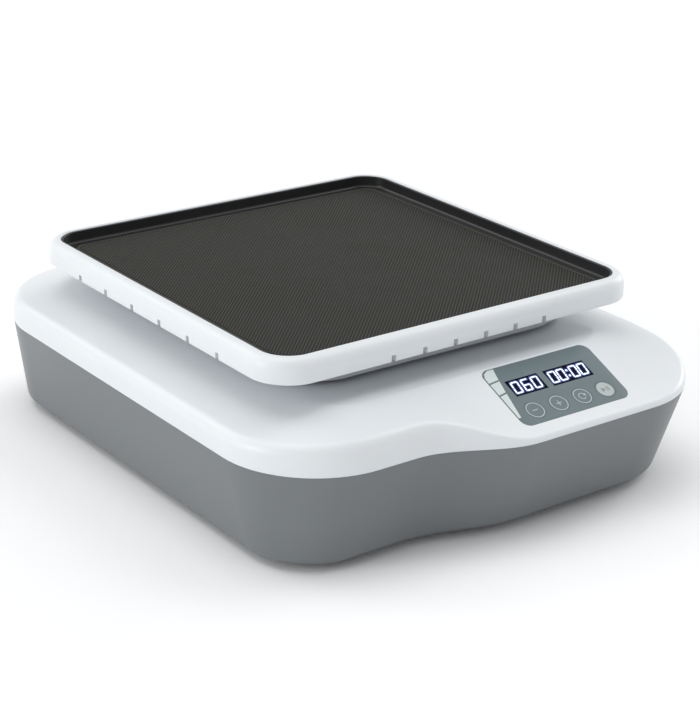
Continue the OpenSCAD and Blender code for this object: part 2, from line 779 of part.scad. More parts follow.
// Moulded carrier: a rim, a top plate, a waffle of ribs and five bearing bosses
tray_screws_at = [for (sx = [-1, 1], sy = [-1, 1]) [sx * tray_screw_at, sy * tray_screw_at]];
pockets = [for (p = pin_seats) [p[0], p[1] - drive_y]];
module carrier() {
    plate_low = tray_low - carrier_t;
    edge = rounded(carrier_x, carrier_y, carrier_r);
    color([0.52, 0.55, 0.57]) translate([0, tray_y, 0]) difference() {
        union() {
            difference() {
                loft([level_ring(edge, 0, tray_low), level_ring(edge, 0, carrier_low + 1.5),
                    level_ring(edge, 0.4, carrier_low + 0.4), level_ring(edge, 1.5, carrier_low)]);
                translate([0, 0, carrier_low - 1]) plate(rounded(carrier_x - carrier_wall,
                    carrier_y - carrier_wall, carrier_r - carrier_wall), plate_low - carrier_low + 1);
            }
            intersection() {
                translate([0, 0, carrier_low + 1]) plate(rounded(carrier_x - carrier_wall / 2,
                    carrier_y - carrier_wall / 2, carrier_r - carrier_wall / 2), tray_low - carrier_low - 2);
                union() for (i = [-2 : 2]) {
                    translate([i * rib_pitch, 0, 0])
                        block(rib_t, 2 * carrier_y, carrier_low + 1, tray_low - 1);
                    translate([0, i * rib_pitch, 0])
                        block(2 * carrier_x, rib_t, carrier_low + 1, tray_low - 1);
                }
            }
            at(pockets) rod(boss_d, carrier_low, tray_low - 1);
            at(tray_screws_at) rod(tray_screw_d + 6, carrier_low + 1, tray_low - 1);
        }
        at(pockets) {
            rod(bearing_d, carrier_low - 1, carrier_low + 1 + bearing_w);
            rod(race_stop_d, carrier_low, plate_low);
        }
        at(tray_screws_at) rod(tray_screw_d + 2 * fit, carrier_low + 3, tray_low + 1);
    }
}

module carrier_bearings() {
    color([0.55, 0.56, 0.58]) translate([0, tray_y, 0]) at(pockets) bearing(carrier_low + 1);
}

module tray_screws() {
    color([0.62, 0.63, 0.65]) translate([0, tray_y, 0]) at(tray_screws_at) {
        translate([0, 0, tray_top - tray_screw_d / 2])
            cylinder(d1 = tray_screw_d, d2 = 2 * tray_screw_d, h = tray_screw_d / 2);
        rod(tray_screw_d, carrier_low + 4, tray_top - tray_screw_d / 2 + 0.1);
    }
}

module tray_frame() {
    bowl = rounded(bowl_half, bowl_half, bowl_r);
    edge = rounded(tray_half, tray_half, tray_r);
    crest = rim_h - rim_r;
    color([0.9, 0.92, 0.93]) translate([0, tray_y, 0]) difference() {
        loft(concat(
            [level_ring(bowl, 0, tray_top), level_ring(bowl, 0, rim_h - 0.5),
                level_ring(bowl, -0.5, rim_h)],
            [for (a = [90, 72, 54, 36, 18, 0])
                level_ring(edge, rim_r * (1 - cos(a)), crest + rim_r * sin(a))],
            [level_ring(edge, 0, skirt_low), level_ring(edge, skirt_t, skirt_low),
                level_ring(edge, skirt_t, tray_low)]));
        for (side = [0 : 3], i = [0 : notch_n - 1]) rotate([0, 0, 90 * side])
            translate([(i - (notch_n - 1) / 2) * notch_pitch, tray_half, 0])
                block(notch_w, 2 * skirt_t + 2, skirt_low - 1, skirt_low + notch_h);
        at(tray_screws_at) {
            rod(tray_screw_d + 2 * fit, tray_low - 1, tray_top + 1);
            translate([0, 0, tray_top - tray_screw_d / 2]) cylinder(d1 = tray_screw_d + 2 * fit,
                d2 = 2 * (tray_screw_d + 2 * fit), h = tray_screw_d / 2 + fit);
        }
    }
}

module tray_liner() {
    out = rounded(bowl_half - fit, bowl_half - fit, bowl_r - fit);
    wall = liner_t + 0.4;
    color([0.06, 0.06, 0.07]) translate([0, tray_y, 0]) loft([
        level_ring(out, wall + 1, tray_top + liner_t), level_ring(out, wall, tray_top + liner_t + 1),
        level_ring(out, wall, rim_h - 0.7), level_ring(out, 0, rim_h - 0.7),
        level_ring(out, 0, tray_top)]);
}

module grip_mat() {
    edge = rounded(mat_half, mat_half, mat_r);
    low = tray_top + liner_t;
    color([0.2, 0.2, 0.19]) translate([0, tray_y, 0]) loft([
        level_ring(edge, 0.4, low + mat_t), level_ring(edge, 0, low + mat_t - 0.4),
        level_ring(edge, 0, low)]);
}

module panel_film() {
    color([0.46, 0.53, 0.54]) on_panel() translate([0, 0, -recess_t]) difference() {
        plate(rounded(panel_w / 2, panel_l / 2, panel_r), film_t);
        at([speed_at]) block(speed_w + fit, window_l + fit, -1, 2);
        at([time_at]) block(time_w + fit, window_l + fit, -1, 2);
        at(keys_at) rod(2 * (key_r + rim_gap), -1, 2);
    }
}

module window(place, w) {
    color([0.05, 0.05, 0.07]) on_panel() at([place]) block(w, window_l, -recess_t, film_top);
}

module display(place, w) {
    color([0.12, 0.12, 0.14]) on_panel() at([place]) block(w - 2 * window_lip - 1,
        window_l - 2 * window_lip - 1, board_face, -recess_t - fit);
}

module speed_window() { window(speed_at, speed_w); }
module time_window() { window(time_at, time_w); }
module speed_display() { display(speed_at, speed_w); }
module time_display() { display(time_at, time_w); }

module key(i, paint) {
    color(paint) on_panel() at([keys_at[i]]) {
        rod(2 * key_r, film_top - key_t, film_top);
        rod(2 * stem_r, switch_top + 2 * key_travel, film_top - key_t + 0.2);
        rod(2 * stem_r - 0.8, switch_top - key_travel, switch_top + 2 * key_travel + 0.2);
    }
}

key_paint = [0.46, 0.53, 0.54];
module minus_key() { key(0, key_paint); }
module plus_key() { key(1, key_paint); }
module mode_key() { key(2, key_paint); }
module start_stop_key() { key(3, [0.7, 0.73, 0.73]); }

module tact_switches() {
    color([0.1, 0.1, 0.1]) on_panel() at(keys_at) difference() {
        block(6, 6, board_face, switch_top);
        rod(2 * stem_r - 0.4, switch_top - 3 * key_travel, switch_top + 1);
    }
}

// Connector blocks that the ribbon cable plugs into
ribbon_x = 24;
ribbon_w = 14;
plug_l = 6;
plug_h = 5;
control_plug_y = 9;
driver_plug_y = driver_y + driver_l / 2 - 10;
module control_board() {
    color([0.1, 0.36, 0.2]) on_panel() difference() {
        union() {
            block(board_w, board_l, -board_drop, board_face);
            translate([ribbon_x - panel_x, control_plug_y, 0])
                block(ribbon_w + 4, plug_l, -board_drop - plug_h, -board_drop + 0.5);
            translate([16, 2, 0]) block(10, 10, -board_drop - 1.4, -board_drop + 0.5);
        }
        at(board_posts_at) rod(board_screw_d + 2 * fit, -board_drop - 1, board_face + 1);
    }
}

module board_screws() {
    color([0.62, 0.63, 0.65]) on_panel() at(board_posts_at) mirror([0, 0, 1])
        pan_screw(board_screw_d, board_drop, 6);
}

module driver_board() {
    top = driver_h + board_t;
    color([0.1, 0.36, 0.2]) difference() {
        union() {
            translate([driver_x, driver_y, 0]) {
                block(driver_w, driver_l, driver_h, top);
                translate([-driver_w / 2 + 24, 6, 0]) block(22, 14, top - 0.5, top + 15);
                at([[-driver_w / 2 + 12, -12], [-driver_w / 2 + 28, -12]]) rod(12, top - 0.5, top + 18);
                translate([4, 2, 0]) block(12, 12, top - 0.5, top + 2);
                translate([18, -14, 0]) block(16, 6, top - 0.5, top + 8);
            }
            translate([ribbon_x, driver_plug_y, 0])
                block(ribbon_w + 4, plug_l, top - 0.5, top + plug_h);
        }
        at(driver_posts_at) rod(board_screw_d + 2 * fit, driver_h - 1, top + 1);
    }
}

module driver_posts() {
    color([0.85, 0.85, 0.82]) at(driver_posts_at) {
        rod(post_d, floor_h, driver_h);
        rod(board_screw_d, driver_h - 1, driver_h + board_t);
        translate([0, 0, driver_h + board_t])
            cylinder(d1 = board_screw_d + 1, d2 = board_screw_d - 1, h = 2);
    }
}

// Flat cable from the driver board's plug, up and forward to the control board's plug
ribbon_t = 1;
module ribbon_cable() {
    low = driver_h + board_t + plug_h;
    drop = board_drop + plug_h;
    end_y = panel_y + control_plug_y * cos(chin_tilt) + drop * sin(chin_tilt);
    end_z = flat_h - (flat_y - panel_y) * tan(chin_tilt) + control_plug_y * sin(chin_tilt)
        - drop * cos(chin_tilt);
    bend_y = driver_plug_y;
    bend_z = end_z - 12;
    color([0.75, 0.76, 0.78]) translate([ribbon_x - ribbon_w / 2, 0, 0]) rotate([90, 0, 90])
        linear_extrude(ribbon_w) polygon([
            [bend_y - ribbon_t / 2, low], [bend_y - ribbon_t / 2, bend_z - 3],
            [bend_y - 3, bend_z], [end_y, bend_z],
            [end_y - 3, bend_z + 3], [end_y - 0.6, end_z - 0.4], [end_y + 0.4, end_z + 0.05],
            [end_y - 2, bend_z + 3.4], [end_y + 0.4, bend_z + ribbon_t],
            [bend_y - 2.6, bend_z + ribbon_t], [bend_y + ribbon_t / 2, bend_z - 2.6],
            [bend_y + ribbon_t / 2, low]]);
}

sensor_w = 12;
module speed_sensor() {
    near = pulley_d / 2 + 3;
    color([0.15, 0.3, 0.5]) translate([0, drive_y - 22, 0]) difference() {
        translate([near, 0, deck_h]) cube([sensor_w, 14, 13]);
        translate([near + 5, -1, deck_h + 3]) cube([sensor_w, 16, 4]);
    }
}

module power_inlet() {
    color([0.09, 0.09, 0.1]) on_back(inlet_x) {
        difference() {
            union() {
                rod(inlet_d, -inlet_in + 1, 0.5);
                rod(inlet_flange_d, 0, 1.5);
            }
            rod(inlet_d / 2 + 0.5, -inlet_in + 4, 2);
        }
        rod(2, -inlet_in + 3, 0.5);
    }
}

rocker_w = bezel_body_w - 3.6;
rocker_l = bezel_body_l - 4.6;
module switch_bezel() {
    color([0.08, 0.08, 0.09]) on_back(switch_x) difference() {
        union() {
            block(bezel_w, bezel_l, 0, bezel_t);
            block(bezel_body_w, bezel_body_l, -bezel_in + 1, bezel_t / 2);
        }
        block(rocker_w + 2 * fit, rocker_l + 2.6, -bezel_in + 3, bezel_t + 1);
    }
}

// The rocker rests with its upper half pressed in
module power_rocker() {
    color([0.12, 0.12, 0.13]) on_back(switch_x) rotate([rocker_tilt, 0, 0])
        translate([-rocker_w / 2, 0, 0]) rotate([90, 0, 90]) linear_extrude(rocker_w)
            polygon([[-rocker_l / 2, -5], [rocker_l / 2, -5], [rocker_l / 2, bezel_t + 0.4],
                [0, bezel_t - 0.4], [-rocker_l / 2, bezel_t + 0.4]]);
}

lower_case();
top_cover();
feet();
case_screws();
deck_plate();
deck_pillars();
deck_screws();
drive_housing();
drive_bearings();
drive_shaft();
drive_pulley();
crank_arm();
drive_pin();
counterweight();
counterweight_screws();
motor();
motor_screws();
motor_shaft();
motor_pulley();
drive_belt();
idler_housings();
idler_bearings();
housing_screws();
idler_crank_front_left();
idler_crank_back_left();
idler_crank_front_right();
idler_crank_back_right();
carrier();
carrier_bearings();
tray_screws();
tray_frame();
tray_liner();
grip_mat();
panel_film();
speed_window();
time_window();
speed_display();
time_display();
minus_key();
plus_key();
mode_key();
start_stop_key();
control_board();
board_screws();
tact_switches();
driver_board();
driver_posts();
ribbon_cable();
speed_sensor();
power_inlet();
switch_bezel();
power_rocker();
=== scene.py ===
import json

import bpy
import numpy as np
from mathutils import Matrix, Vector


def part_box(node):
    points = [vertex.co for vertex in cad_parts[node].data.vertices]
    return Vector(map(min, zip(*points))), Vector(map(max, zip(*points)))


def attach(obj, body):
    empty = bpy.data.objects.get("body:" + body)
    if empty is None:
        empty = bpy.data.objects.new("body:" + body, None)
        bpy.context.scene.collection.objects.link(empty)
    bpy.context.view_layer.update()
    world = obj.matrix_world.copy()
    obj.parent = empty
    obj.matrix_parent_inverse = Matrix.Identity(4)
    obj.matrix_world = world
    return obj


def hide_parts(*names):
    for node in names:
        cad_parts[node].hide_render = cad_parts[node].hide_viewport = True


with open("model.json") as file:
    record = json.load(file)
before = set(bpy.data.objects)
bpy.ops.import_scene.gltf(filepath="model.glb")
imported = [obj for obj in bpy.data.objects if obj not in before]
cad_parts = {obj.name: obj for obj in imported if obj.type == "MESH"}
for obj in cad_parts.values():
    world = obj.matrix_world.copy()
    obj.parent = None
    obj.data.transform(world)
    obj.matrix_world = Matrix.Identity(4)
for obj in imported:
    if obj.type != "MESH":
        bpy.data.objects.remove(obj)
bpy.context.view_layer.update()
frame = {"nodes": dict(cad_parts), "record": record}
mm = 0.001    # sizes below are in millimetres, and meshes are made in metres
print("frame loaded with", len(frame["nodes"]), "nodes")

# Body of the shaker in millimetres: the main sizes come from the frame, the rest from the design.
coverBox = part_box("top_cover")
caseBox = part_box("lower_case")
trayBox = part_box("tray_frame")
body = {
    "halfWidth": coverBox[1].x / mm,
    "backY": coverBox[1].y / mm,
    "chinY": coverBox[0].y / mm,
    "flatHeight": coverBox[1].z / mm,
    "caseLow": caseBox[0].z / mm,
    "crown": 24.5,            # rise of the cover above the seam
    "chinOut": 21,            # step of the control slope at the front
    "waveLeft": 62,
    "waveLength": 66,
    "cornerRadius": 57,
    "floorRadius": 38,
    "chinFloorRadius": 48,
    "sideDraft": 10,          # how much the case narrows on each side
    "chinDraft": 17,
    "bottomRound": 5,
    "caseWall": 3,
    "coverWall": 2.6,
    "flatX": 100,
    "flatBack": 38,
    "flatRadius": 26,
    "sideBand": 14.4,
    "frontBand": 17,
    "chinBand": 2.6,
    "chinTilt": 23.7,
    "edgeRound": 7.5,
    "chinRound": 3.8,
    "slopeRun": 74,
    "creaseBlend": 15,        # soft turn from the flat middle into the slopes
    "sharpBlend": 1,          # the same along the control slope
    "blendPasses": 24,        # how often the two are evened out along the ring
    "sharpFrom": 8,           # where the control slope's own blend starts, right of the wave
    "seamRound": 0.08,
    "uprightLeast": 0.1,      # upright wall that stays between the seam and the rounded edge
}
seamHeight = body["flatHeight"] - body["crown"]
caseHeight = seamHeight - body["caseLow"]
mainY = body["chinY"] + body["chinOut"]
waveRight = body["waveLength"] - body["waveLeft"]
tiltAngle = np.radians(body["chinTilt"])
flatY = body["chinY"] + (body["crown"] - body["chinBand"]) / np.tan(tiltAngle)


def mixed(a, b, t):
    # The value at share t of the way from a to b.
    return a + (b - a) * t


def arcPart(cx, cy, radius, start, count=20):
    # A quarter circle: centre plus radius times cosine and sine, with its outward normal.
    a = np.radians(start + 90 * np.arange(count) / count)
    return np.c_[cx + radius * np.cos(a), cy + radius * np.sin(a), np.cos(a), np.sin(a)]


def linePart(start, end, normal, count):
    # Even steps from start towards end, leaving out the end.
    t = np.arange(count)[:, None] / count
    return np.c_[mixed(np.array(start, float), np.array(end, float), t), np.tile(normal, (count, 1))]


def wavePart(x0, x1, y0, y1, count=44):
    # Half a cosine wave from y0 to y1; the normal is the slope turned a quarter.
    t = np.arange(count) / count
    rise = (y1 - y0) / (x1 - x0) * np.pi / 2 * np.sin(np.pi * t)
    k = np.hypot(rise, 1)
    return np.c_[mixed(x0, x1, t), mixed(y0, y1, (1 - np.cos(np.pi * t)) / 2), rise / k, -1 / k]


def outline(halfWidth, backY, frontY, chinY, radius, chinRadius):
    # The body's plan: four quarter circles, straight sides and the wave along the front.
    return np.vstack([
        arcPart(halfWidth - chinRadius, chinY + chinRadius, chinRadius, -90),
        linePart((halfWidth, chinY + chinRadius), (halfWidth, backY - radius), (1, 0), 14),
        arcPart(halfWidth - radius, backY - radius, radius, 0),
        linePart((halfWidth - radius, backY), (radius - halfWidth, backY), (0, 1), 6),
        arcPart(radius - halfWidth, backY - radius, radius, 90),
        linePart((-halfWidth, backY - radius), (-halfWidth, frontY + radius), (-1, 0), 6),
        arcPart(radius - halfWidth, frontY + radius, radius, 180),
        linePart((radius - halfWidth, frontY), (-body["waveLeft"], frontY), (0, -1), 3),
        wavePart(-body["waveLeft"], waveRight, frontY, chinY),
        linePart((waveRight, chinY), (halfWidth - chinRadius, chinY), (0, -1), 8)])


def roundedPlan(halfX, halfY, radius, count=14):
    # A rounded rectangle: four quarter circles, each row a point and its outward normal.
    return np.vstack([arcPart(halfX - radius, halfY - radius, radius, 0, count),
                      arcPart(radius - halfX, halfY - radius, radius, 90, count),
                      arcPart(radius - halfX, radius - halfY, radius, 180, count),
                      arcPart(halfX - radius, radius - halfY, radius, 270, count)])


def levelRing(plan, inset, z):
    # The plan set in along its normals and lifted to z.
    return np.c_[plan[:, :2] - inset * plan[:, 2:], np.full(len(plan), z, float)]


def circleRing(radius, z, count=40):
    # Radius times cosine and sine, all at height z.
    a = 2 * np.pi * np.arange(count) / count
    return np.c_[radius * np.cos(a), radius * np.sin(a), np.full(count, z, float)]


def signedVolume(points, faces):
    # Six times the volume: a . (b x c), summed over the fan of triangles in each face.
    total = 0.0
    for size in (3, 4):
        f = np.array([q for q in faces if len(q) == size])
        if len(f):
            for k in range(1, size - 1):
                a, b, c = points[f[:, 0]], points[f[:, k]], points[f[:, k + 1]]
                total += np.einsum("ij,ij->i", a, np.cross(b, c)).sum()
    return total


def outward(points, faces):
    # Every face is turned over where the volume comes out negative.
    if signedVolume(points, faces) < 0:
        faces = [f[::-1] for f in faces]
    return points, faces


def loft(rings, place=None):
    # Quads between neighbouring rings, and a fan about the middle of each end ring.
    rings = np.array(rings)
    m, n = rings.shape[:2]
    k, i = np.meshgrid(np.arange(m - 1), np.arange(n), indexing="ij")
    a, b = k * n + i, k * n + (i + 1) % n
    quads = np.stack([a, b, b + n, a + n], -1).reshape(-1, 4)
    i = np.arange(n)
    near = np.stack([(i + 1) % n, i, np.full(n, m * n)], -1)
    far = np.stack([(m - 1) * n + i, (m - 1) * n + (i + 1) % n, np.full(n, m * n + 1)], -1)
    points = np.vstack([rings.reshape(-1, 3), rings[0].mean(0), rings[-1].mean(0)])
    return outward(placed(points, place), quads.tolist() + near.tolist() + far.tolist())


def sweptRing(section, place=None, count=72):
    # A closed section of (radius, height) pairs carried round the local Z axis.
    section = np.array(section, float)
    a = 2 * np.pi * np.arange(count) / count
    points = np.stack([np.outer(np.cos(a), section[:, 0]), np.outer(np.sin(a), section[:, 0]),
                       np.tile(section[:, 1], (count, 1))], -1).reshape(-1, 3)
    m = len(section)
    k, i = np.meshgrid(np.arange(count), np.arange(m), indexing="ij")
    near, far = k * m, (k + 1) % count * m
    quads = np.stack([near + i, near + (i + 1) % m, far + (i + 1) % m, far + i], -1).reshape(-1, 4)
    return outward(placed(points, place), quads.tolist())


def placed(points, place):
    # The points turned and moved by a 4 by 4 matrix.
    if place is None:
        return points
    return points @ place[:3, :3].T + place[:3, 3]


def shifted(x, y, z=0.0):
    # A matrix that only moves.
    place = np.eye(4)
    place[:3, 3] = (x, y, z)
    return place


def turnedAboutX(angle, x, y, z):
    # A turn about X, then a move.
    place = shifted(x, y, z)
    c, s = np.cos(angle), np.sin(angle)
    place[:3, :3] = [[1, 0, 0], [0, c, -s], [0, s, c]]
    return place


def rod(x, y, radius, low, high, place=None, count=40):
    # One circle carried from low to high.
    base = np.eye(4) if place is None else place
    return loft([circleRing(radius, low, count), circleRing(radius, high, count)], base @ shifted(x, y))


def block(x, y, width, length, low, high, place=None):
    # A rectangle about (x, y) carried from low to high.
    plan = np.array([[1, 1], [-1, 1], [-1, -1], [1, -1]]) * (width / 2, length / 2)
    base = np.eye(4) if place is None else place
    return loft([np.c_[plan, np.full(4, z, float)] for z in (low, high)], base @ shifted(x, y))


def flatShape(points, low, high, place):
    # Any convex outline carried from low to high.
    points = np.array(points, float)
    return loft([np.c_[points, np.full(len(points), z, float)] for z in (low, high)], place)


def meshOf(name, parts):
    # All the parts in one mesh, turned from millimetres into metres.
    points, faces, base = [], [], 0
    for p, f in parts:
        points.append(p)
        faces += [[v + base for v in q] for q in f]
        base += len(p)
    mesh = bpy.data.meshes.new(name)
    mesh.from_pydata((np.vstack(points) * mm).tolist(), [], faces)
    mesh.update()
    return mesh


def objectOf(name, mesh):
    piece = bpy.data.objects.new(name, mesh)
    bpy.context.scene.collection.objects.link(piece)
    return piece


def cutAway(piece, cutters):
    # The exact boolean leaves the piece without the cutters' space.
    tool = objectOf("cutter", meshOf("cutter", cutters))
    step = piece.modifiers.new("cut", "BOOLEAN")
    step.operation, step.solver, step.object = "DIFFERENCE", "EXACT", tool
    graph = bpy.context.evaluated_depsgraph_get()
    result = bpy.data.meshes.new_from_object(piece.evaluated_get(graph))
    piece.modifiers.clear()
    piece.data = result
    bpy.data.objects.remove(tool)


def finishPiece(piece, rider, material, replaced=(), sharp=32):
    # One material, smooth faces with the sharp edges kept, and the piece's place in the frame.
    piece.data.materials.clear()
    piece.data.materials.append(material)
    piece.data.polygons.foreach_set("material_index", np.zeros(len(piece.data.polygons), np.int32))
    piece.data.shade_smooth()
    piece.data.set_sharp_from_angle(angle=np.radians(sharp))
    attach(piece, rider)
    if replaced:
        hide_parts(*replaced)
    return piece


mergeDistance = 0.01    # in mm


def smoothCopy(node, name, rider, material, sharp=32):
    # The node's own shape with its loose corners merged, so that round walls shade as round.
    piece = objectOf(name, frame["nodes"][node].data.copy())
    step = piece.modifiers.new("merge", "WELD")
    step.merge_threshold = mergeDistance * mm
    graph = bpy.context.evaluated_depsgraph_get()
    merged = bpy.data.meshes.new_from_object(piece.evaluated_get(graph))
    piece.modifiers.clear()
    clean = bpy.data.meshes.new(name)
    points = np.empty(len(merged.vertices) * 3, np.float32)
    merged.vertices.foreach_get("co", points)
    clean.from_pydata(points.reshape(-1, 3).tolist(), [], [list(p.vertices) for p in merged.polygons])
    piece.data = clean
    return finishPiece(piece, rider, material, [node], sharp)


# Shader node groups shared by the materials.

def newGroup(name, inputs, outputs):
    group = bpy.data.node_groups.new(name, "ShaderNodeTree")
    for label, kind, value in inputs:
        socket = group.interface.new_socket(name=label, in_out="INPUT", socket_type=kind)
        if value is not None:
            socket.default_value = value
    for label, kind in outputs:
        group.interface.new_socket(name=label, in_out="OUTPUT", socket_type=kind)
    return group, group.nodes.new("NodeGroupInput"), group.nodes.new("NodeGroupOutput")


def grainGroup():
    # Fine moulding grain plus a slow mottle, both as values from 0 to 1.
    group, given, out = newGroup(
        "mouldedGrain",
        [("Vector", "NodeSocketVector", None), ("Grain Scale", "NodeSocketFloat", 900.0),
         ("Mottle Scale", "NodeSocketFloat", 14.0)],
        [("Height", "NodeSocketFloat"), ("Mottle", "NodeSocketFloat")])
    grain = group.nodes.new("ShaderNodeTexNoise")
    mottle = group.nodes.new("ShaderNodeTexNoise")
    grain.inputs["Detail"].default_value = 3.0
    mottle.inputs["Detail"].default_value = 4.0
    for node, scale, output in ((grain, "Grain Scale", "Height"), (mottle, "Mottle Scale", "Mottle")):
        group.links.new(given.outputs["Vector"], node.inputs["Vector"])
        group.links.new(given.outputs[scale], node.inputs["Scale"])
        group.links.new(node.outputs["Fac"], out.inputs[output])
    return group


def strokeGroup():
    # Long machining strokes: noise pressed flat along one axis of the vector.
    group, given, out = newGroup(
        "machinedStrokes",
        [("Vector", "NodeSocketVector", None), ("Stretch", "NodeSocketVector", (40.0, 40.0, 1800.0))],
        [("Height", "NodeSocketFloat"), ("Tone", "NodeSocketFloat")])
    press = group.nodes.new("ShaderNodeVectorMath")
    press.operation = "MULTIPLY"
    stroke = group.nodes.new("ShaderNodeTexNoise")
    stroke.inputs["Scale"].default_value = 1.0
    stroke.inputs["Detail"].default_value = 5.0
    drift = group.nodes.new("ShaderNodeTexNoise")
    drift.inputs["Scale"].default_value = 60.0
    group.links.new(given.outputs["Vector"], press.inputs[0])
    group.links.new(given.outputs["Stretch"], press.inputs[1])
    group.links.new(press.outputs["Vector"], stroke.inputs["Vector"])
    group.links.new(given.outputs["Vector"], drift.inputs["Vector"])
    group.links.new(stroke.outputs["Fac"], out.inputs["Height"])
    group.links.new(drift.outputs["Fac"], out.inputs["Tone"])
    return group


mouldedGrain = grainGroup()
machinedStrokes = strokeGroup()


def mixColours(nodes, links, factor, first, second):
    mix = nodes.new("ShaderNodeMix")
    mix.data_type = "RGBA"
    for socket, value in ((6, first), (7, second)):
        if isinstance(value, (tuple, list)):
            mix.inputs[socket].default_value = (*value, 1.0)
        else:
            links.new(value, mix.inputs[socket])
    links.new(factor, mix.inputs[0])
    return mix.outputs[2]


def ranged(nodes, links, value, low, high, fromLow=0.3, fromHigh=0.7):
    # The value carried from its own span to low and high. Noise stays mostly between 0.3 and 0.7.
    node = nodes.new("ShaderNodeMapRange")
    span = {"From Min": fromLow, "From Max": fromHigh, "To Min": low, "To Max": high}
    for label, number in span.items():
        node.inputs[label].default_value = number
    links.new(value, node.inputs["Value"])
    return node.outputs["Result"]


def bumped(nodes, links, shader, height, strength, distance):
    bump = nodes.new("ShaderNodeBump")
    bump.inputs["Strength"].default_value = strength
    bump.inputs["Distance"].default_value = distance * mm
    links.new(height, bump.inputs["Height"])
    links.new(bump.outputs["Normal"], shader.inputs["Normal"])


def startMaterial(name, metallic=0.0):
    material = bpy.data.materials.new(name)
    material.use_nodes = True
    nodes, links = material.node_tree.nodes, material.node_tree.links
    shader = nodes["Principled BSDF"]
    shader.inputs["Metallic"].default_value = metallic
    place = nodes.new("ShaderNodeTexCoord").outputs["Object"]
    return material, nodes, links, shader, place


def tone(colour, factor):
    # The colour made lighter or darker.
    return tuple(min(1.0, c * factor) for c in colour)


plasticGloss = 0.04     # how far the roughness drifts either way
metalGloss = 0.05


def plastic(name, colour, roughness, grain=900.0, depth=0.02, spread=0.04, strength=0.25,
            specular=0.5):
    # Moulded plastic or rubber: fine grain in the bump, a slow drift in colour and gloss.
    material, nodes, links, shader, place = startMaterial(name)
    group = nodes.new("ShaderNodeGroup")
    group.node_tree = mouldedGrain
    group.inputs["Grain Scale"].default_value = grain
    links.new(place, group.inputs["Vector"])
    mottle = group.outputs["Mottle"]
    links.new(mixColours(nodes, links, ranged(nodes, links, mottle, 0, 1), tone(colour, 1 - spread),
                         tone(colour, 1 + spread)), shader.inputs["Base Color"])
    links.new(ranged(nodes, links, mottle, roughness - plasticGloss, roughness + plasticGloss),
              shader.inputs["Roughness"])
    shader.inputs["Specular IOR Level"].default_value = specular
    bumped(nodes, links, shader, group.outputs["Height"], strength, depth)
    return material


def metal(name, colour, roughness, stretch=(40.0, 40.0, 1800.0), depth=0.01, spread=0.08):
    # Machined or plated metal: fine strokes in the bump and gloss, a slow drift in tone.
    material, nodes, links, shader, place = startMaterial(name, 1.0)
    group = nodes.new("ShaderNodeGroup")
    group.node_tree = machinedStrokes
    group.inputs["Stretch"].default_value = stretch
    links.new(place, group.inputs["Vector"])
    links.new(mixColours(nodes, links, ranged(nodes, links, group.outputs["Tone"], 0, 1),
                         tone(colour, 1 - spread), tone(colour, 1 + spread)),
              shader.inputs["Base Color"])
    links.new(ranged(nodes, links, group.outputs["Height"], roughness - metalGloss,
                     roughness + metalGloss), shader.inputs["Roughness"])
    bumped(nodes, links, shader, group.outputs["Height"], 0.3, depth)
    return material


def matRubber(name, low, high):
    # Ribbed rubber: painted shade makes the valleys near-black and blends up to the lighter rib tops,
    # by height in the piece.
    material, nodes, links, shader, place = startMaterial(name)
    group = nodes.new("ShaderNodeGroup")
    group.node_tree = mouldedGrain
    group.inputs["Grain Scale"].default_value = 1500.0
    links.new(place, group.inputs["Vector"])
    split = nodes.new("ShaderNodeSeparateXYZ")
    links.new(place, split.inputs[0])
    lift = ranged(nodes, links, split.outputs["Z"], 0, 1, low * mm, high * mm)
    ribTopColour = mixColours(nodes, links, ranged(nodes, links, group.outputs["Mottle"], 0, 1),
                      (0.033, 0.033, 0.026), (0.047, 0.047, 0.038))
    # painted shade: the height mask blends the near-black valley colour into the rib tops' colour
    links.new(mixColours(nodes, links, lift, (0.014, 0.014, 0.012), ribTopColour), shader.inputs["Base Color"])
    links.new(ranged(nodes, links, group.outputs["Mottle"], 0.55, 0.7), shader.inputs["Roughness"])
    shader.inputs["Specular IOR Level"].default_value = 0.3
    bumped(nodes, links, shader, group.outputs["Height"], 0.35, 0.03)
    return material


def circuitBoard(name):
    # Solder resist over copper: a brick pattern stands for the tracks, with bright pads.
    material, nodes, links, shader, place = startMaterial(name)
    tracks = nodes.new("ShaderNodeTexBrick")
    tracks.inputs["Scale"].default_value = 180.0
    tracks.inputs["Mortar Size"].default_value = 0.012
    tracks.inputs["Color1"].default_value = (0.012, 0.11, 0.045, 1)
    tracks.inputs["Color2"].default_value = (0.016, 0.13, 0.052, 1)
    tracks.inputs["Mortar"].default_value = (0.03, 0.22, 0.08, 1)
    pads = nodes.new("ShaderNodeTexVoronoi")
    pads.inputs["Scale"].default_value = 240.0
    links.new(place, tracks.inputs["Vector"])
    links.new(place, pads.inputs["Vector"])
    spot = ranged(nodes, links, pads.outputs["Distance"], 1, 0, 0.08, 0.12)
    links.new(mixColours(nodes, links, spot, tracks.outputs["Color"], (0.55, 0.5, 0.38)),
              shader.inputs["Base Color"])
    links.new(ranged(nodes, links, pads.outputs["Distance"], 0.25, 0.4), shader.inputs["Roughness"])
    bumped(nodes, links, shader, tracks.outputs["Fac"], 0.2, 0.03)
    return material


def glowing(name, colour, strength):
    # Lit segments and the painted glow round them: an even glow with a slightly uneven base under it.
    material, nodes, links, shader, place = startMaterial(name)
    cloud = nodes.new("ShaderNodeTexNoise")
    cloud.inputs["Scale"].default_value = 700.0
    links.new(place, cloud.inputs["Vector"])
    links.new(mixColours(nodes, links, cloud.outputs["Fac"], tone(colour, 0.85), colour),
              shader.inputs["Base Color"])
    links.new(mixColours(nodes, links, cloud.outputs["Fac"], tone(colour, 0.92), colour),
              shader.inputs["Emission Color"])
    shader.inputs["Emission Strength"].default_value = strength
    return material


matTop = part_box("grip_mat")[1].z / mm
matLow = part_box("grip_mat")[0].z / mm
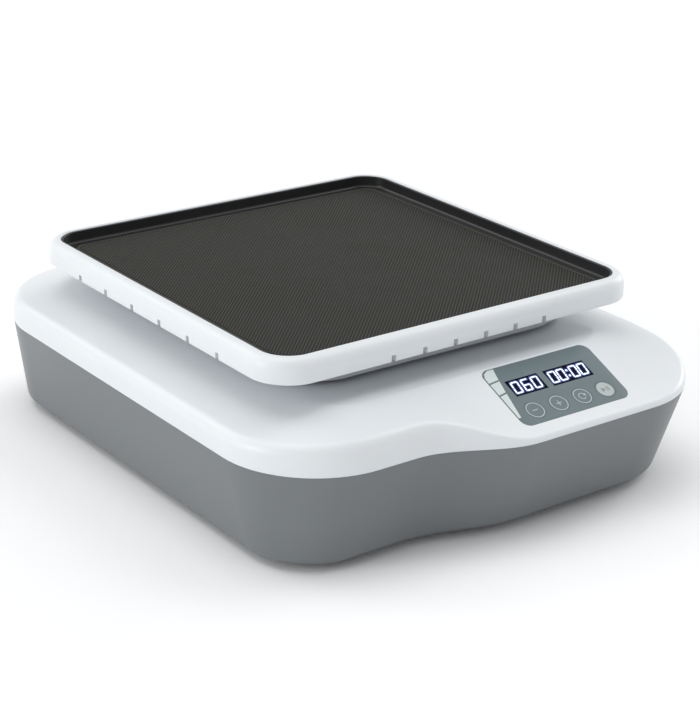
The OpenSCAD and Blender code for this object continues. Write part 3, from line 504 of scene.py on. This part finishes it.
# Plastics: colour, roughness, grain scale, grain depth in mm, colour spread, bump strength and
# specular level. Metals: colour, roughness and the stretch of the strokes along each axis.
finish = {
    "cover_white": plastic("whiteMoulding", (0.715, 0.744, 0.766), 0.34, 1100.0, 0.012, 0.012, 0.12),
    "case_grey": plastic("greyMoulding", (0.158, 0.172, 0.180), 0.4, 900.0, 0.02, 0.03, 0.22),
    "carrier_grey": plastic("carrierMoulding", (0.42, 0.44, 0.46), 0.45, 900.0, 0.02, 0.03, 0.25),
    "rubber_black": plastic("footRubber", (0.022, 0.022, 0.024), 0.75, 700.0, 0.05, 0.1, 0.4),
    "screw_steel": metal("zincSteel", (0.55, 0.56, 0.58), 0.35, (500.0, 500.0, 60.0)),
    "sheet_steel": metal("zincSheet", (0.58, 0.59, 0.61), 0.4, (1200.0, 30.0, 30.0)),
    "brass": metal("turnedBrass", (0.72, 0.52, 0.22), 0.34),
    "cast_alloy": metal("machinedAlloy", (0.6, 0.61, 0.63), 0.42, (60.0, 60.0, 900.0)),
    "bearing_steel": metal("groundSteel", (0.5, 0.51, 0.53), 0.22),
    "turned_steel": metal("turnedSteel", (0.6, 0.61, 0.63), 0.34),
    "pulley_black": plastic("pulleyNylon", (0.03, 0.03, 0.033), 0.5, 800.0, 0.03, 0.1),
    "motor_black": plastic("motorPaint", (0.035, 0.036, 0.04), 0.35, 1000.0, 0.02, 0.08),
    "belt_rubber": plastic("beltRubber", (0.02, 0.02, 0.021), 0.7, 900.0, 0.04, 0.12, 0.4),
    "liner_black": plastic("smoothBlackLiner", (0.016, 0.016, 0.017), 0.36, 700.0, 0.01, 0.1, 0.12),
    "mat_rubber": matRubber("ribbedRubber", matTop - 0.5, matTop - 0.1),
    "panel_film": plastic("panelPrint", (0.134, 0.177, 0.187), 0.45, 1600.0, 0.008, 0.02, 0.15, 0.3),
    "key_light": plastic("lightKeyPrint", (0.42, 0.46, 0.46), 0.45, 1600.0, 0.008, 0.02, 0.15),
    "window_black": plastic("darkWindow", (0.004, 0.004, 0.010), 0.15, 200.0, 0.002, 0.2, 0.02, 0.03),
    "display_black": plastic("displayFace", (0.01, 0.01, 0.012), 0.35, 900.0, 0.01, 0.1, 0.1),
    "board_green": circuitBoard("greenBoard"),
    "switch_black": plastic("blackMoulding", (0.022, 0.022, 0.024), 0.45, 900.0, 0.03, 0.1, 0.3),
    "nylon": plastic("naturalNylon", (0.7, 0.69, 0.62), 0.5, 800.0, 0.02, 0.04),
    "ribbon_grey": plastic("ribbonJacket", (0.35, 0.37, 0.39), 0.45, 700.0, 0.03, 0.08),
    "sensor_blue": plastic("sensorMoulding", (0.03, 0.07, 0.2), 0.4, 900.0, 0.02, 0.08),
}
printLight = plastic("lightPrint", (0.5, 0.55, 0.55), 0.5, 1500.0, 0.004, 0.03, 0.1)
printPale = plastic("palePrint", (0.62, 0.68, 0.67), 0.5, 1500.0, 0.004, 0.03, 0.1)
printGrey = plastic("greyPrint", (0.2, 0.24, 0.245), 0.5, 1500.0, 0.004, 0.03, 0.1)

slotOf = {s["node"]: s["material_slot"] for s in frame["record"]["subparts"]}
for node, piece in frame["nodes"].items():
    for materialSlot in piece.material_slots:
        materialSlot.material = finish["panel_film" if node.endswith("_key") else slotOf[node]]
print("materials made:", len(bpy.data.materials))

# Plans of the body at the seam, the case's floor and the cover's flat middle.
seamPlan = outline(body["halfWidth"], body["backY"], mainY, body["chinY"], body["cornerRadius"],
                   body["cornerRadius"])
floorPlan = outline(body["halfWidth"] - body["sideDraft"], body["backY"] - body["sideDraft"],
                    mainY + body["sideDraft"], body["chinY"] + body["chinDraft"],
                    body["floorRadius"], body["chinFloorRadius"])
flatPlan = outline(body["flatX"], body["backY"] - body["flatBack"], flatY, flatY,
                   body["flatRadius"], body["flatRadius"])
planX, planY = seamPlan[:, 0], seamPlan[:, 1]
chinShare = np.where(planX > waveRight,
                     np.clip((body["chinY"] + body["slopeRun"] - planY) / body["slopeRun"],
                             0, 1) ** 1.5,
                     np.clip((mainY - planY) / body["chinOut"], 0, 1))
frontShare = np.where(planX > waveRight, 0,
                      np.clip((mainY + body["cornerRadius"] - planY) / body["cornerRadius"], 0, 1) ** 2)
edgeHeight = seamHeight + mixed(mixed(body["sideBand"], body["frontBand"], frontShare),
                                body["chinBand"], chinShare)
edgeTilt = np.arctan((body["flatHeight"] - edgeHeight)
                     / np.linalg.norm(seamPlan[:, :2] - flatPlan[:, :2], axis=1))


def edgeRing(t, wall):
    # The cover's rounded edge: at t = 0 it is upright, at t = 1 it has the slope's tilt.
    half = (np.pi / 2 - edgeTilt) / 2
    radius = np.minimum(mixed(body["edgeRound"], body["chinRound"], chinShare),
                        (edgeHeight - seamHeight - body["uprightLeast"]) / np.tan(half))
    inset = radius - (radius - wall) * np.cos(2 * half * t)
    z = edgeHeight - radius * np.tan(half) + (radius - wall) * np.sin(2 * half * t)
    return np.c_[seamPlan[:, :2] - inset[:, None] * seamPlan[:, 2:], z]


def creaseRings(count=9):
    # A soft turn about the crease: a quadratic curve from the slope into the flat middle.
    corner = levelRing(flatPlan, 0, body["flatHeight"])
    slope = edgeRing(1, 0)
    frontward = -flatPlan[:, 3]
    blend = np.where(frontward > 0.2, body["sharpBlend"], float(body["creaseBlend"]))
    for _ in range(body["blendPasses"]):
        blend = (np.roll(blend, 1) + blend + np.roll(blend, -1)) / 3
    blend = np.where((frontward > 0.5) & (planX > waveRight + body["sharpFrom"]),
                     body["sharpBlend"], blend)
    length = np.linalg.norm(slope - corner, axis=1)
    outer = corner + (slope - corner) * (blend / length)[:, None]
    inner = corner.copy()
    inner[:, :2] -= blend[:, None] * flatPlan[:, 2:]
    turn = [(1 - t) ** 2 * outer + 2 * t * (1 - t) * corner + t ** 2 * inner
            for t in np.linspace(0, 1, count)]
    rise = [mixed(slope, outer, t) for t in (0.25, 0.5, 0.75)]
    return rise + turn


panel = {"width": 77.4, "length": 44.0, "x": 38.8, "inset": 8.5, "radius": 6.0, "proud": 0.1,
         "keyRadius": 6.1, "keyStart": -24.8, "keyPitch": 17.0, "keyY": -12.7,
         "speedX": -17.2, "timeX": 13.0, "windowY": 5.0, "speedWidth": 22.8, "timeWidth": 29.2,
         "windowLength": 11.8, "recess": 0.5, "gap": 0.06,
         "keyGap": 0.15, "windowLedge": 3.0, "windowGap": 0.1, "filmEdge": 0.07}
panelY = body["chinY"] + panel["inset"] + np.cos(tiltAngle) * panel["length"] / 2
slopePlace = turnedAboutX(tiltAngle, panel["x"], panelY,
                          body["flatHeight"] - (flatY - panelY) * np.tan(tiltAngle))
keyPlaces = [(panel["keyStart"] + i * panel["keyPitch"], panel["keyY"]) for i in range(4)]

# Openings in the cover for the drive crank and the four idler cranks.
drive = {"y": 17.5, "idlerX": 75.0, "idlerY": 70.0, "holeRadius": 16.5}
pinSeats = [(0.0, drive["y"])] + [(sx * drive["idlerX"], drive["y"] + sy * drive["idlerY"])
                                  for sx in (-1, 1) for sy in (-1, 1)]


def makeCover():
    # Down over the outside, under the seam and up the inside, one ring at a time.
    rings = creaseRings()[::-1]
    rings += [edgeRing(t, 0) for t in np.linspace(1, 0, 12)]
    rings += [levelRing(seamPlan, 0, seamHeight + body["seamRound"]),
              levelRing(seamPlan, body["seamRound"], seamHeight),
              levelRing(seamPlan, body["coverWall"], seamHeight)]
    rings += [edgeRing(t, body["coverWall"]) for t in np.linspace(0, 1, 5)]
    rings += [levelRing(flatPlan, 0.0, body["flatHeight"] - body["coverWall"])]
    piece = objectOf("coverShell", meshOf("coverShell", [loft(rings)]))
    deep = -3 * body["coverWall"]
    recess = roundedPlan(panel["width"] / 2 + panel["gap"], panel["length"] / 2 + panel["gap"],
                         panel["radius"])
    cutters = [rod(x, y, drive["holeRadius"], body["flatHeight"] - 8, body["flatHeight"] + 2)
               for x, y in pinSeats]
    well = [loft([levelRing(recess, 0, -panel["recess"]), levelRing(recess, 0, 5)], slopePlace)]
    cutAway(piece, cutters + well)
    cutAway(piece, panelHoles(-panel["windowLedge"], deep))
    return finishPiece(piece, "base", finish["cover_white"], ["top_cover"])


def panelHoles(extra, deep):
    # Round holes for the keys and oblong ones for the windows, through the cover or the film.
    keys = [rod(x, y, panel["keyRadius"] + panel["keyGap"], deep, 4, slopePlace)
            for x, y in keyPlaces]
    windows = [block(panel[k + "X"], panel["windowY"], panel[k + "Width"] + extra,
                     panel["windowLength"] + extra, deep, 4, slopePlace)
               for k in ("speed", "time")]
    return keys + windows


def makeFilm():
    # The rounded plan carried up out of the recess, with a small round along its top edge.
    plan = roundedPlan(panel["width"] / 2, panel["length"] / 2, panel["radius"], 18)
    low, high, edge = 0.01 - panel["recess"], panel["proud"], panel["filmEdge"]
    rings = [levelRing(plan, 0, low), levelRing(plan, 0, high - edge),
             levelRing(plan, 0.02, high - 0.02), levelRing(plan, edge, high)]
    piece = objectOf("panelFilm", meshOf("panelFilm", [loft(rings, slopePlace)]))
    cutAway(piece, panelHoles(panel["windowGap"], -2))
    return finishPiece(piece, "base", finish["panel_film"], ["panel_film"])


def caseRing(z, inset):
    # The drafted wall at height z: between the seam's plan and the floor's, set in by inset.
    t = (seamHeight - z) / caseHeight
    xy = mixed(seamPlan[:, :2], floorPlan[:, :2], t) - inset * seamPlan[:, 2:]
    return np.c_[xy, np.full(len(xy), z)]


# Screw towers, feet, lip, vents and the openings in the case's rear.
fit = {
    "towerInset": 32.0, "towerRadius": 6.0, "towerTop": -1.5, "headRadius": 4.5, "footInset": 48.0,
    "footRadius": 4.1, "lipHeight": 2.0, "chinLip": 0.5, "lipOut": 2.75, "lipWidth": 1.6,
    "ventCount": 7, "ventWidth": 3.0, "ventLength": 34.0, "ventPitch": 7.2, "ventGap": 20.0,
    "ventY": 111.5, "rearHeight": 26.0, "inletX": -70.0, "inletRadius": 6.1, "switchX": -30.0,
    "switchWidth": 20.2, "switchLength": 15.2, "towerBack": 46, "towerSide": 8, "towerChin": 63,
    "towerFront": 50, "footBack": 27, "footChin": 52, "footFront": 31, "boreRadius": 2.2,
    "seatDrop": 8, "lipFoot": 7, "lipStart": 5, "edgeBreak": 0.25}
towerX = body["halfWidth"] - fit["towerInset"]
towers = [(towerX, body["backY"] - fit["towerBack"]), (-towerX, body["backY"] - fit["towerBack"]),
          (towerX, fit["towerSide"]), (-towerX, fit["towerSide"]),
          (towerX, body["chinY"] + fit["towerChin"]), (-towerX, mainY + fit["towerFront"])]
footX = body["halfWidth"] - fit["footInset"]
feetPlaces = [(footX, body["backY"] - fit["footBack"]), (-footX, body["backY"] - fit["footBack"]),
              (footX, body["chinY"] + fit["footChin"]), (-footX, mainY + fit["footFront"])]
rearZ = body["caseLow"] + fit["rearHeight"]
wallTilt = np.arctan(body["sideDraft"] / caseHeight)
rearY = body["backY"] - body["sideDraft"] * (seamHeight - rearZ) / caseHeight


def rearPlace(x):
    # On the rear wall, at x, with its Z axis along the wall's normal.
    return turnedAboutX(-np.pi / 2 - wallTilt, x, rearY, rearZ)


def makeCase():
    # Up the inside, over the lip at the seam, down the outside and under the rounded bottom.
    r, low, wall = body["bottomRound"], body["caseLow"], body["caseWall"]
    floorTop = low + wall
    lipInset = fit["lipOut"] + fit["lipWidth"]
    lipTop = seamHeight + mixed(fit["lipHeight"], fit["chinLip"], chinShare)
    lipRings = [np.c_[seamPlan[:, :2] - d * seamPlan[:, 2:], lipTop] for d in (lipInset, fit["lipOut"])]
    rings = [caseRing(floorTop, r), caseRing(floorTop + 0.3 * r, wall + 0.6),
             caseRing(floorTop + r, wall), caseRing(seamHeight - fit["lipFoot"], wall),
             caseRing(seamHeight - fit["lipStart"], lipInset)] + lipRings
    rings += [caseRing(seamHeight, fit["lipOut"]), caseRing(seamHeight, fit["edgeBreak"]),
              caseRing(seamHeight - fit["edgeBreak"], 0)]
    rings += [caseRing(z, 0) for z in np.linspace(seamHeight - 6, low + r, 7)]
    rings += [caseRing(low + r * (1 - np.sin(a)), r * (1 - np.cos(a)))
              for a in np.radians(np.linspace(11, 90, 8))]
    piece = objectOf("caseShell", meshOf("caseShell", [loft(rings)]))
    cutters = [rod(x, y, fit["headRadius"], low - 1, floorTop + 1) for x, y in towers]
    cutters += [rod(x, y, fit["footRadius"], low - 1, floorTop + 1) for x, y in feetPlaces]
    cutters += [block((i - (fit["ventCount"] - 1) / 2) * fit["ventPitch"],
                      fit["ventY"] + s * fit["ventGap"], fit["ventWidth"], fit["ventLength"],
                      low - 1, floorTop + 1)
                for i in range(fit["ventCount"]) for s in (-1, 1)]
    cutters += [rod(0, 0, fit["inletRadius"], -8, 5, rearPlace(fit["inletX"])),
                block(0, 0, fit["switchWidth"], fit["switchLength"], -8, 5,
                      rearPlace(fit["switchX"]))]
    cutAway(piece, cutters)
    top = seamHeight + fit["towerTop"]
    seat = top - fit["seatDrop"]
    tower = [(fit["headRadius"], floorTop), (fit["towerRadius"], floorTop),
             (fit["towerRadius"], top), (fit["boreRadius"], top), (fit["boreRadius"], seat),
             (fit["headRadius"], seat)]
    posts = meshOf("caseTowers", [sweptRing(tower, shifted(x, y), 40) for x, y in towers])
    joined = objectOf("caseTowers", posts)
    with bpy.context.temp_override(active_object=piece, selected_editable_objects=[piece, joined]):
        bpy.ops.object.join()
    return finishPiece(piece, "base", finish["case_grey"], ["lower_case"])


makeCover()
makeFilm()
makeCase()
print("cover, film and case made")

tray = {"half": trayBox[1].x / mm, "centreY": (trayBox[0].y + trayBox[1].y) / 2 / mm,
        "rimHeight": trayBox[1].z / mm, "skirtLow": trayBox[0].z / mm, "rim": 7.0, "depth": 8.5,
        "radius": 24.0, "rimRound": 6.0, "skirt": 3.0, "floor": 2.5, "linerWall": 1.2,
        "linerFloor": 0.8, "notchCount": 6, "sidePitch": 29.0, "frontPitch": 21.0, "frontShift": 0.5,
        "notchWidth": 3.0, "notchHeight": 3.8, "screwAt": 51.0, "screwRadius": 2.1,
        "innerRound": 0.9, "linerRound": 1.4, "linerDrop": 0.7}
trayPlace = shifted(0, tray["centreY"])
trayTop = tray["rimHeight"] - tray["depth"]
bowlHalf = tray["half"] - tray["rim"]
bowlRadius = tray["radius"] - tray["rim"]


def makeTray():
    # Up the bowl's wall, over the rounded rim, down the outside and back up inside the skirt.
    bowl = roundedPlan(bowlHalf, bowlHalf, bowlRadius, 18)
    edge = roundedPlan(tray["half"], tray["half"], tray["radius"], 18)
    r, inner, top = tray["rimRound"], tray["innerRound"], tray["rimHeight"]
    rings = [levelRing(bowl, 0, trayTop), levelRing(bowl, 0, top - inner)]
    rings += [levelRing(bowl, inner * (np.cos(a) - 1), top - inner + inner * np.sin(a))
              for a in np.radians((30, 60, 90))]
    rings += [levelRing(edge, r * (1 - np.cos(a)), top - r + r * np.sin(a))
              for a in np.radians(np.linspace(90, 0, 12))]
    low, skirt = tray["skirtLow"], tray["skirt"]
    rings += [levelRing(edge, inset, low + lift)
              for inset, lift in ((0, 0.6), (0.2, 0.15), (0.6, 0), (skirt - 0.4, 0), (skirt, 0.4))]
    rings += [levelRing(edge, skirt, trayTop - tray["floor"])]
    piece = objectOf("trayShell", meshOf("trayShell", [loft(rings, trayPlace)]))
    steps = np.arange(tray["notchCount"]) - (tray["notchCount"] - 1) / 2
    depth, high = 2 * skirt + 2, low + tray["notchHeight"]
    cutters = [block(step * tray["frontPitch"] + tray["frontShift"], side * tray["half"],
                     tray["notchWidth"], depth, low - 1, high, trayPlace)
               for side in (-1, 1) for step in steps]
    cutters += [block(side * tray["half"], step * tray["sidePitch"], depth, tray["notchWidth"],
                      low - 1, high, trayPlace) for side in (-1, 1) for step in steps]
    cutters += [rod(sx * tray["screwAt"], sy * tray["screwAt"], tray["screwRadius"], trayTop - 9,
                    trayTop + 1, trayPlace, 24) for sx in (-1, 1) for sy in (-1, 1)]
    cutAway(piece, cutters)
    return finishPiece(piece, "platform", finish["cover_white"], ["tray_frame"])


def makeLiner():
    # From the floor up a quarter round into the wall, over its top edge and down outside.
    plan = roundedPlan(bowlHalf - 0.1, bowlHalf - 0.1, bowlRadius - 0.1, 18)
    wall, low, r = tray["linerWall"], trayTop + tray["linerFloor"], tray["linerRound"]
    top = tray["rimHeight"] - tray["linerDrop"]
    rings = [levelRing(plan, wall + r * (1 - np.sin(a)), low + r * (1 - np.cos(a)))
             for a in np.radians(np.linspace(0, 90, 6))]
    rings += [levelRing(plan, wall, top - 0.4), levelRing(plan, wall - 0.2, top - 0.1),
              levelRing(plan, wall - 0.5, top), levelRing(plan, 0, top), levelRing(plan, 0, trayTop)]
    piece = objectOf("blackLiner", meshOf("blackLiner", [loft(rings, trayPlace)]))
    return finishPiece(piece, "platform", finish["liner_black"], ["tray_liner"])


mat = {"half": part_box("grip_mat")[1].x / mm, "radius": 8.0, "bead": 1.3, "rib": 0.5, "pitch": 1.7,
       "ribTop": 0.5, "ribFoot": 1.05, "endGap": 0.7, "cornerGap": 0.6}


def ribPart(plan):
    # Straight ribs at 45 degrees: each is a trapezium carried between the two ends that the
    # rounded square leaves it. s is the half length of the line x = s + c, y = s - c.
    h, r = plan["half"] - plan["bead"] - plan["endGap"], plan["radius"] - plan["bead"]
    reach = h - r + r / np.sqrt(2) - plan["cornerGap"]
    count = int(reach * np.sqrt(2) / plan["pitch"])
    c = np.arange(-count, count + 1) * plan["pitch"] / np.sqrt(2)
    side = np.abs(c)
    along = np.where(side <= r / 2, h - r + np.sqrt(np.maximum(r * r / 2 - side ** 2, 0)), h - side)
    over = side - h + r
    along = np.where(side > h - r / 2, np.sqrt(np.maximum(r * r / 2 - over ** 2, 0)), along)
    section = np.array([[-plan["ribFoot"] / 2, -0.1], [-plan["ribTop"] / 2, plan["rib"]],
                        [plan["ribTop"] / 2, plan["rib"]], [plan["ribFoot"] / 2, -0.1]])
    across = section[:, 0] / np.sqrt(2)
    ends = np.array([-1.0, 1.0])
    s = along[:, None, None] * ends[None, :, None]
    x = s + c[:, None, None] + across
    y = s - c[:, None, None] - across
    z = np.broadcast_to(matTop - plan["rib"] + section[:, 1], x.shape)
    points = np.stack([x, y, z], -1).reshape(-1, 3)
    base = np.arange(len(c))[:, None, None] * 8
    box = np.array([[0, 1, 5, 4], [1, 2, 6, 5], [2, 3, 7, 6], [3, 0, 4, 7], [3, 2, 1, 0], [4, 5, 6, 7]])
    return outward(placed(points, trayPlace), (base + box).reshape(-1, 4).tolist())


def makeMat():
    # A sheet with a low bead round its edge, and the ribs set into its top.
    plan = roundedPlan(mat["half"], mat["half"], mat["radius"], 14)
    valley = matTop - mat["rib"]
    rings = [levelRing(plan, mat["bead"] + 0.3, valley), levelRing(plan, mat["bead"], matTop - 0.1),
             levelRing(plan, mat["bead"] - 0.3, matTop), levelRing(plan, 0.4, matTop),
             levelRing(plan, 0.1, matTop - 0.15), levelRing(plan, 0, matTop - 0.45),
             levelRing(plan, 0, matLow)]
    piece = objectOf("ribbedMat", meshOf("ribbedMat", [loft(rings, trayPlace), ribPart(mat)]))
    return finishPiece(piece, "platform", finish["mat_rubber"], ["grip_mat"], 25)


makeTray()
makeLiner()
makeMat()
print("tray, liner and mat made")

digits = {"speedPitch": 7.0, "timePitch": 6.1, "colonGap": 1.5, "height": 8.4, "width": 5.0,
          "stroke": 0.62, "slant": 0.12, "colonRadius": 0.55, "colonRise": 2.0, "step": 0.02,
          "barGap": 0.12}
# wideGlow and nearGlow are painted glow: emissive sheets wider than the strokes, laid round the lit
# segments
glowLayers = {"wideGlow": 1.4, "nearGlow": 0.5, "core": 0.0}    # mm that each layer adds to a stroke
segmentsOf = {"0": "abcdef", "6": "acdefg"}


def segmentShape(name, w, h, s, rounded):
    # Each lit bar is a six-cornered strip along one side of the figure eight, and its glow has
    # round ends: the bar's end plus cosine along it and sine across it.
    bars = {"a": ((0, h), (w, h)), "g": ((0, h / 2), (w, h / 2)), "d": ((0, 0), (w, 0)),
            "f": ((0, h / 2), (0, h)), "e": ((0, 0), (0, h / 2)),
            "b": ((w, h / 2), (w, h)), "c": ((w, 0), (w, h / 2))}
    a, b = np.array(bars[name], float)
    along = (b - a) / np.linalg.norm(b - a)
    across = np.array([-along[1], along[0]]) * s / 2
    a, b = a + along * digits["barGap"], b - along * digits["barGap"]
    k = along * s / 2
    if rounded:
        turn = np.radians(np.linspace(-90, 90, 9))[:, None]
        return np.vstack([b + np.cos(turn) * k + np.sin(turn) * across,
                          a - np.cos(turn) * k - np.sin(turn) * across])
    return np.array([a, a + k - across, b - k - across, b, b - k + across, a + k + across])


def digitParts(text, x, pitch, grow, level, colonAfter=None):
    # The lit bars of a row of figures, widened by grow and laid at their own level.
    parts = []
    stroke = digits["stroke"]
    w, h = digits["width"] - stroke, digits["height"] - stroke
    low = panel["proud"] + level * digits["step"]
    high = low + 0.75 * digits["step"]
    middle = (len(text) - 1) / 2
    for i, figure in enumerate(text):
        cx = x + (i - middle) * pitch
        if colonAfter is not None:
            cx += digits["colonGap"] if i > colonAfter else -digits["colonGap"]
        for name in segmentsOf[figure]:
            shape = segmentShape(name, w, h, stroke + grow, grow > 0) - (w / 2, h / 2)
            shape[:, 0] += digits["slant"] * shape[:, 1]
            parts.append(flatShape(shape + (cx, panel["windowY"]), low, high, slopePlace))
    if colonAfter is not None:
        parts += [rod(x + digits["slant"] * dy, panel["windowY"] + dy,
                      digits["colonRadius"] + grow / 2, low, high, slopePlace, 20)
                  for dy in (-digits["colonRise"], digits["colonRise"])]
    return parts


glows = {"wideGlow": glowing("wideGlow", (0.06, 0.09, 0.32), 0.2),
         "nearGlow": glowing("nearGlow", (0.2, 0.28, 0.66), 0.4),
         "core": glowing("digitGlow", (0.84, 0.9, 1.0), 1.3)}
rows = (("speed", "060", None), ("time", "0000", 1))    # name, figures, and where the colon is
for level, (layer, grow) in enumerate(glowLayers.items()):
    for name, text, colonAfter in rows:
        parts = digitParts(text, panel[name + "X"], digits[name + "Pitch"], grow, level + 1,
                           colonAfter)
        label = name + layer[0].upper() + layer[1:]
        finishPiece(objectOf(label, meshOf(label, parts)), "base", glows[layer])


keyPrint = {"ring": 5.0, "stroke": 0.42, "sign": 3.8, "disc": 5.2, "arrow": 2.1, "low": 0.005,
            "high": 0.05, "discLow": 0.002, "discHigh": 0.02}
inkLow, inkHigh = panel["proud"] + keyPrint["low"], panel["proud"] + keyPrint["high"]


def printed(parts):
    # Flat outlines as a thin coat on the film.
    return [flatShape(p, inkLow, inkHigh, slopePlace) for p in parts]


def bar(x, y, w, h):
    # A rectangle about (x, y).
    return np.array([x, y]) + np.array([[-w, -h], [w, -h], [w, h], [-w, h]]) / 2


def ringPrint(x, y, inner, outer):
    # A thin ring: a small rectangle carried round (x, y).
    section = [(inner, inkLow), (outer, inkLow), (outer, inkHigh), (inner, inkHigh)]
    return sweptRing(section, slopePlace @ shifted(x, y))


def arcPrint(x, y, radius, stroke, start, end, count=24):
    # A stroke along an arc, as four-cornered pieces of the band between two radii.
    a = np.radians(np.linspace(start, end, count))
    inner, outer = [np.c_[x + r * np.cos(a), y + r * np.sin(a)]
                    for r in (radius - stroke / 2, radius + stroke / 2)]
    return [np.vstack([outer[i:i + 2], inner[i:i + 2][::-1]]) for i in range(count - 1)]


(minusX, keyY), (plusX, _), (modeX, _), (startX, _) = keyPlaces
sign, stroke = keyPrint["sign"], keyPrint["stroke"]
half = sign / 4 + stroke / 4
plusSign = [bar(plusX, keyY, sign, stroke), bar(plusX, keyY + half, stroke, sign / 2 - stroke / 2),
            bar(plusX, keyY - half, stroke, sign / 2 - stroke / 2)]
arrowHead = np.array([modeX, keyY]) + [[2.5, 1.4], [1.0, 0.6], [2.7, -0.6]]
triangle = np.array([startX, keyY]) + [[-2.4, -1.7], [0.3, 0], [-2.4, 1.7]]
twoBars = [bar(startX + x, keyY, 0.6, 3.2) for x in (1.2, 2.4)]
keySigns = {
    "minusPrint": ("minus_button", minusX, [bar(minusX, keyY, sign, stroke)]),
    "plusPrint": ("plus_button", plusX, plusSign),
    "modePrint": ("mode_button", modeX,
                  arcPrint(modeX, keyY, keyPrint["arrow"], stroke, 30, 320) + [arrowHead]),
}
for name, (rider, x, shapes) in keySigns.items():
    parts = printed(shapes) + [ringPrint(x, keyY, keyPrint["ring"], keyPrint["ring"] + stroke)]
    finishPiece(objectOf(name, meshOf(name, parts)), rider, printLight)
startSign = meshOf("startPrint", printed([triangle] + twoBars))
finishPiece(objectOf("startPrint", startSign), "start_stop_button", printGrey)
startDisc = rod(startX, keyY, keyPrint["disc"], panel["proud"] + keyPrint["discLow"],
                panel["proud"] + keyPrint["discHigh"], slopePlace, 56)
finishPiece(objectOf("startDisc", meshOf("startDisc", [startDisc])), "start_stop_button",
            finish["key_light"])

# A pale slanted strip fills the film's left end, in three facets.
strip = {"margin": 0.7, "bottom": 7}
left, top = strip["margin"] - panel["width"] / 2, panel["length"] / 2 - strip["margin"]
bottom = strip["bottom"] - panel["length"] / 2
facets = [
    [(left, 12.5), (left + 7.2, 13.4), (left + 9.2, top), (left + 5, top),
     (left + 1.6, top - 1.7), (left, top - 5)],
    [(left, 3.0), (left + 5.2, 4.0), (left + 7.0, 12.3), (left, 11.4)],
    [(left, bottom), (left + 1.6, bottom), (left + 5.0, 2.9), (left, 1.9)]]
finishPiece(objectOf("facetStrip", meshOf("facetStrip", printed(facets))), "base",
            printPale)
print("panel prints made")

# These nodes keep their own shape, with their round walls shaded as round.
copies = {"feet": "rubberFeet", "carrier": "carrierPlate", "power_inlet": "powerSocket",
          "case_screws": "caseScrews"}
for node, name in copies.items():
    rider = next(b for b, nodes in frame["record"]["behaviour"]["bodies"].items() if node in nodes)
    smoothCopy(node, name, rider, finish[slotOf[node]])

# Studio: a pale floor under a sky that is brightest at the horizon, and broad soft lamps.
studio = {"floor": 60.0, "floorColour": (0.93, 0.932, 0.935), "horizon": 0.98, "zenith": 0.54,
          "horizonRise": 0.35}
floor = objectOf("studioFloor", bpy.data.meshes.new("studioFloor"))
h = studio["floor"] / 2
floor.data.from_pydata([(-h, -h, 0), (h, -h, 0), (h, h, 0), (-h, h, 0)], [], [(0, 1, 2, 3)])
floor.data.materials.append(plastic("paperFloor", studio["floorColour"], 0.8, 300.0, 0.02, 0.004,
                                    0.05, 0.1))

world = bpy.data.worlds.new("studioWorld")
world.use_nodes = True
skyNodes, skyLinks = world.node_tree.nodes, world.node_tree.links
sky = skyNodes["Background"]
sky.inputs["Color"].default_value = (0.985, 0.992, 1.0, 1)
upward = skyNodes.new("ShaderNodeSeparateXYZ")
skyLinks.new(skyNodes.new("ShaderNodeTexCoord").outputs["Generated"], upward.inputs[0])
skyLinks.new(ranged(skyNodes, skyLinks, upward.outputs["Z"], studio["horizon"], studio["zenith"],
                    0.0, studio["horizonRise"]), sky.inputs["Strength"])
bpy.context.scene.world = world
bpy.context.scene.view_settings.view_transform = "Standard"

# Each lamp stands far off, so that it lights the object and the floor evenly.
lamps = {
    "overhead": {"strength": 0.86, "spread": 45, "from": (-0.12, 0.12, 1.0)},
    "rightKey": {"strength": 0.42, "spread": 24, "from": (0.59, -0.07, 0.8)},
    "backKey": {"strength": 0.42, "spread": 30, "from": (-0.37, 0.73, 0.57)},
    "leftSide": {"strength": 0.88, "spread": 28, "from": (-0.93, 0.2, 0.3)},
    "frontFill": {"strength": 0.03, "spread": 30, "from": (-0.3, -0.93, 0.2)},
    "rightSide": {"strength": 0.72, "spread": 26, "from": (0.95, 0.1, 0.33)},
}
for name, lamp in lamps.items():
    light = bpy.data.lights.new(name, "SUN")
    light.energy, light.angle = lamp["strength"], np.radians(lamp["spread"])
    piece = bpy.data.objects.new(name, light)
    bpy.context.scene.collection.objects.link(piece)
    aim = Vector(lamp["from"])
    piece.matrix_world = Matrix.Translation(aim) @ aim.to_track_quat("Z", "Y").to_matrix().to_4x4()

# The photograph's camera: its turn in degrees, its focal length and the photograph's height in
# pixels, and where it stands in metres.
photo = {"azimuth": -36.9, "elevation": 22.06, "roll": 1.12, "focalPixels": 1953.23, "tall": 726,
         "at": (-0.6397, -0.8639, 0.4807)}
az, el, roll = np.radians([photo["azimuth"], photo["elevation"], photo["roll"]])
back = np.array([np.sin(az) * np.cos(el), -np.cos(az) * np.cos(el), np.sin(el)])
right = np.cross(-back, [0, 0, 1])
right /= np.linalg.norm(right)
down = np.cross(-back, right)
right, down = np.cos(roll) * right - np.sin(roll) * down, np.sin(roll) * right + np.cos(roll) * down
camera = bpy.data.objects.new("photoCamera", bpy.data.cameras.new("photoCamera"))
bpy.context.scene.collection.objects.link(camera)
camera.data.lens = photo["focalPixels"] * camera.data.sensor_width / photo["tall"]
turned = np.eye(4)
turned[:3, :3] = np.c_[right, -down, back]
turned[:3, 3] = photo["at"]
camera.matrix_world = Matrix(turned.tolist())
bpy.context.scene.camera = camera
print("studio and camera made")

bpy.context.view_layer.update()
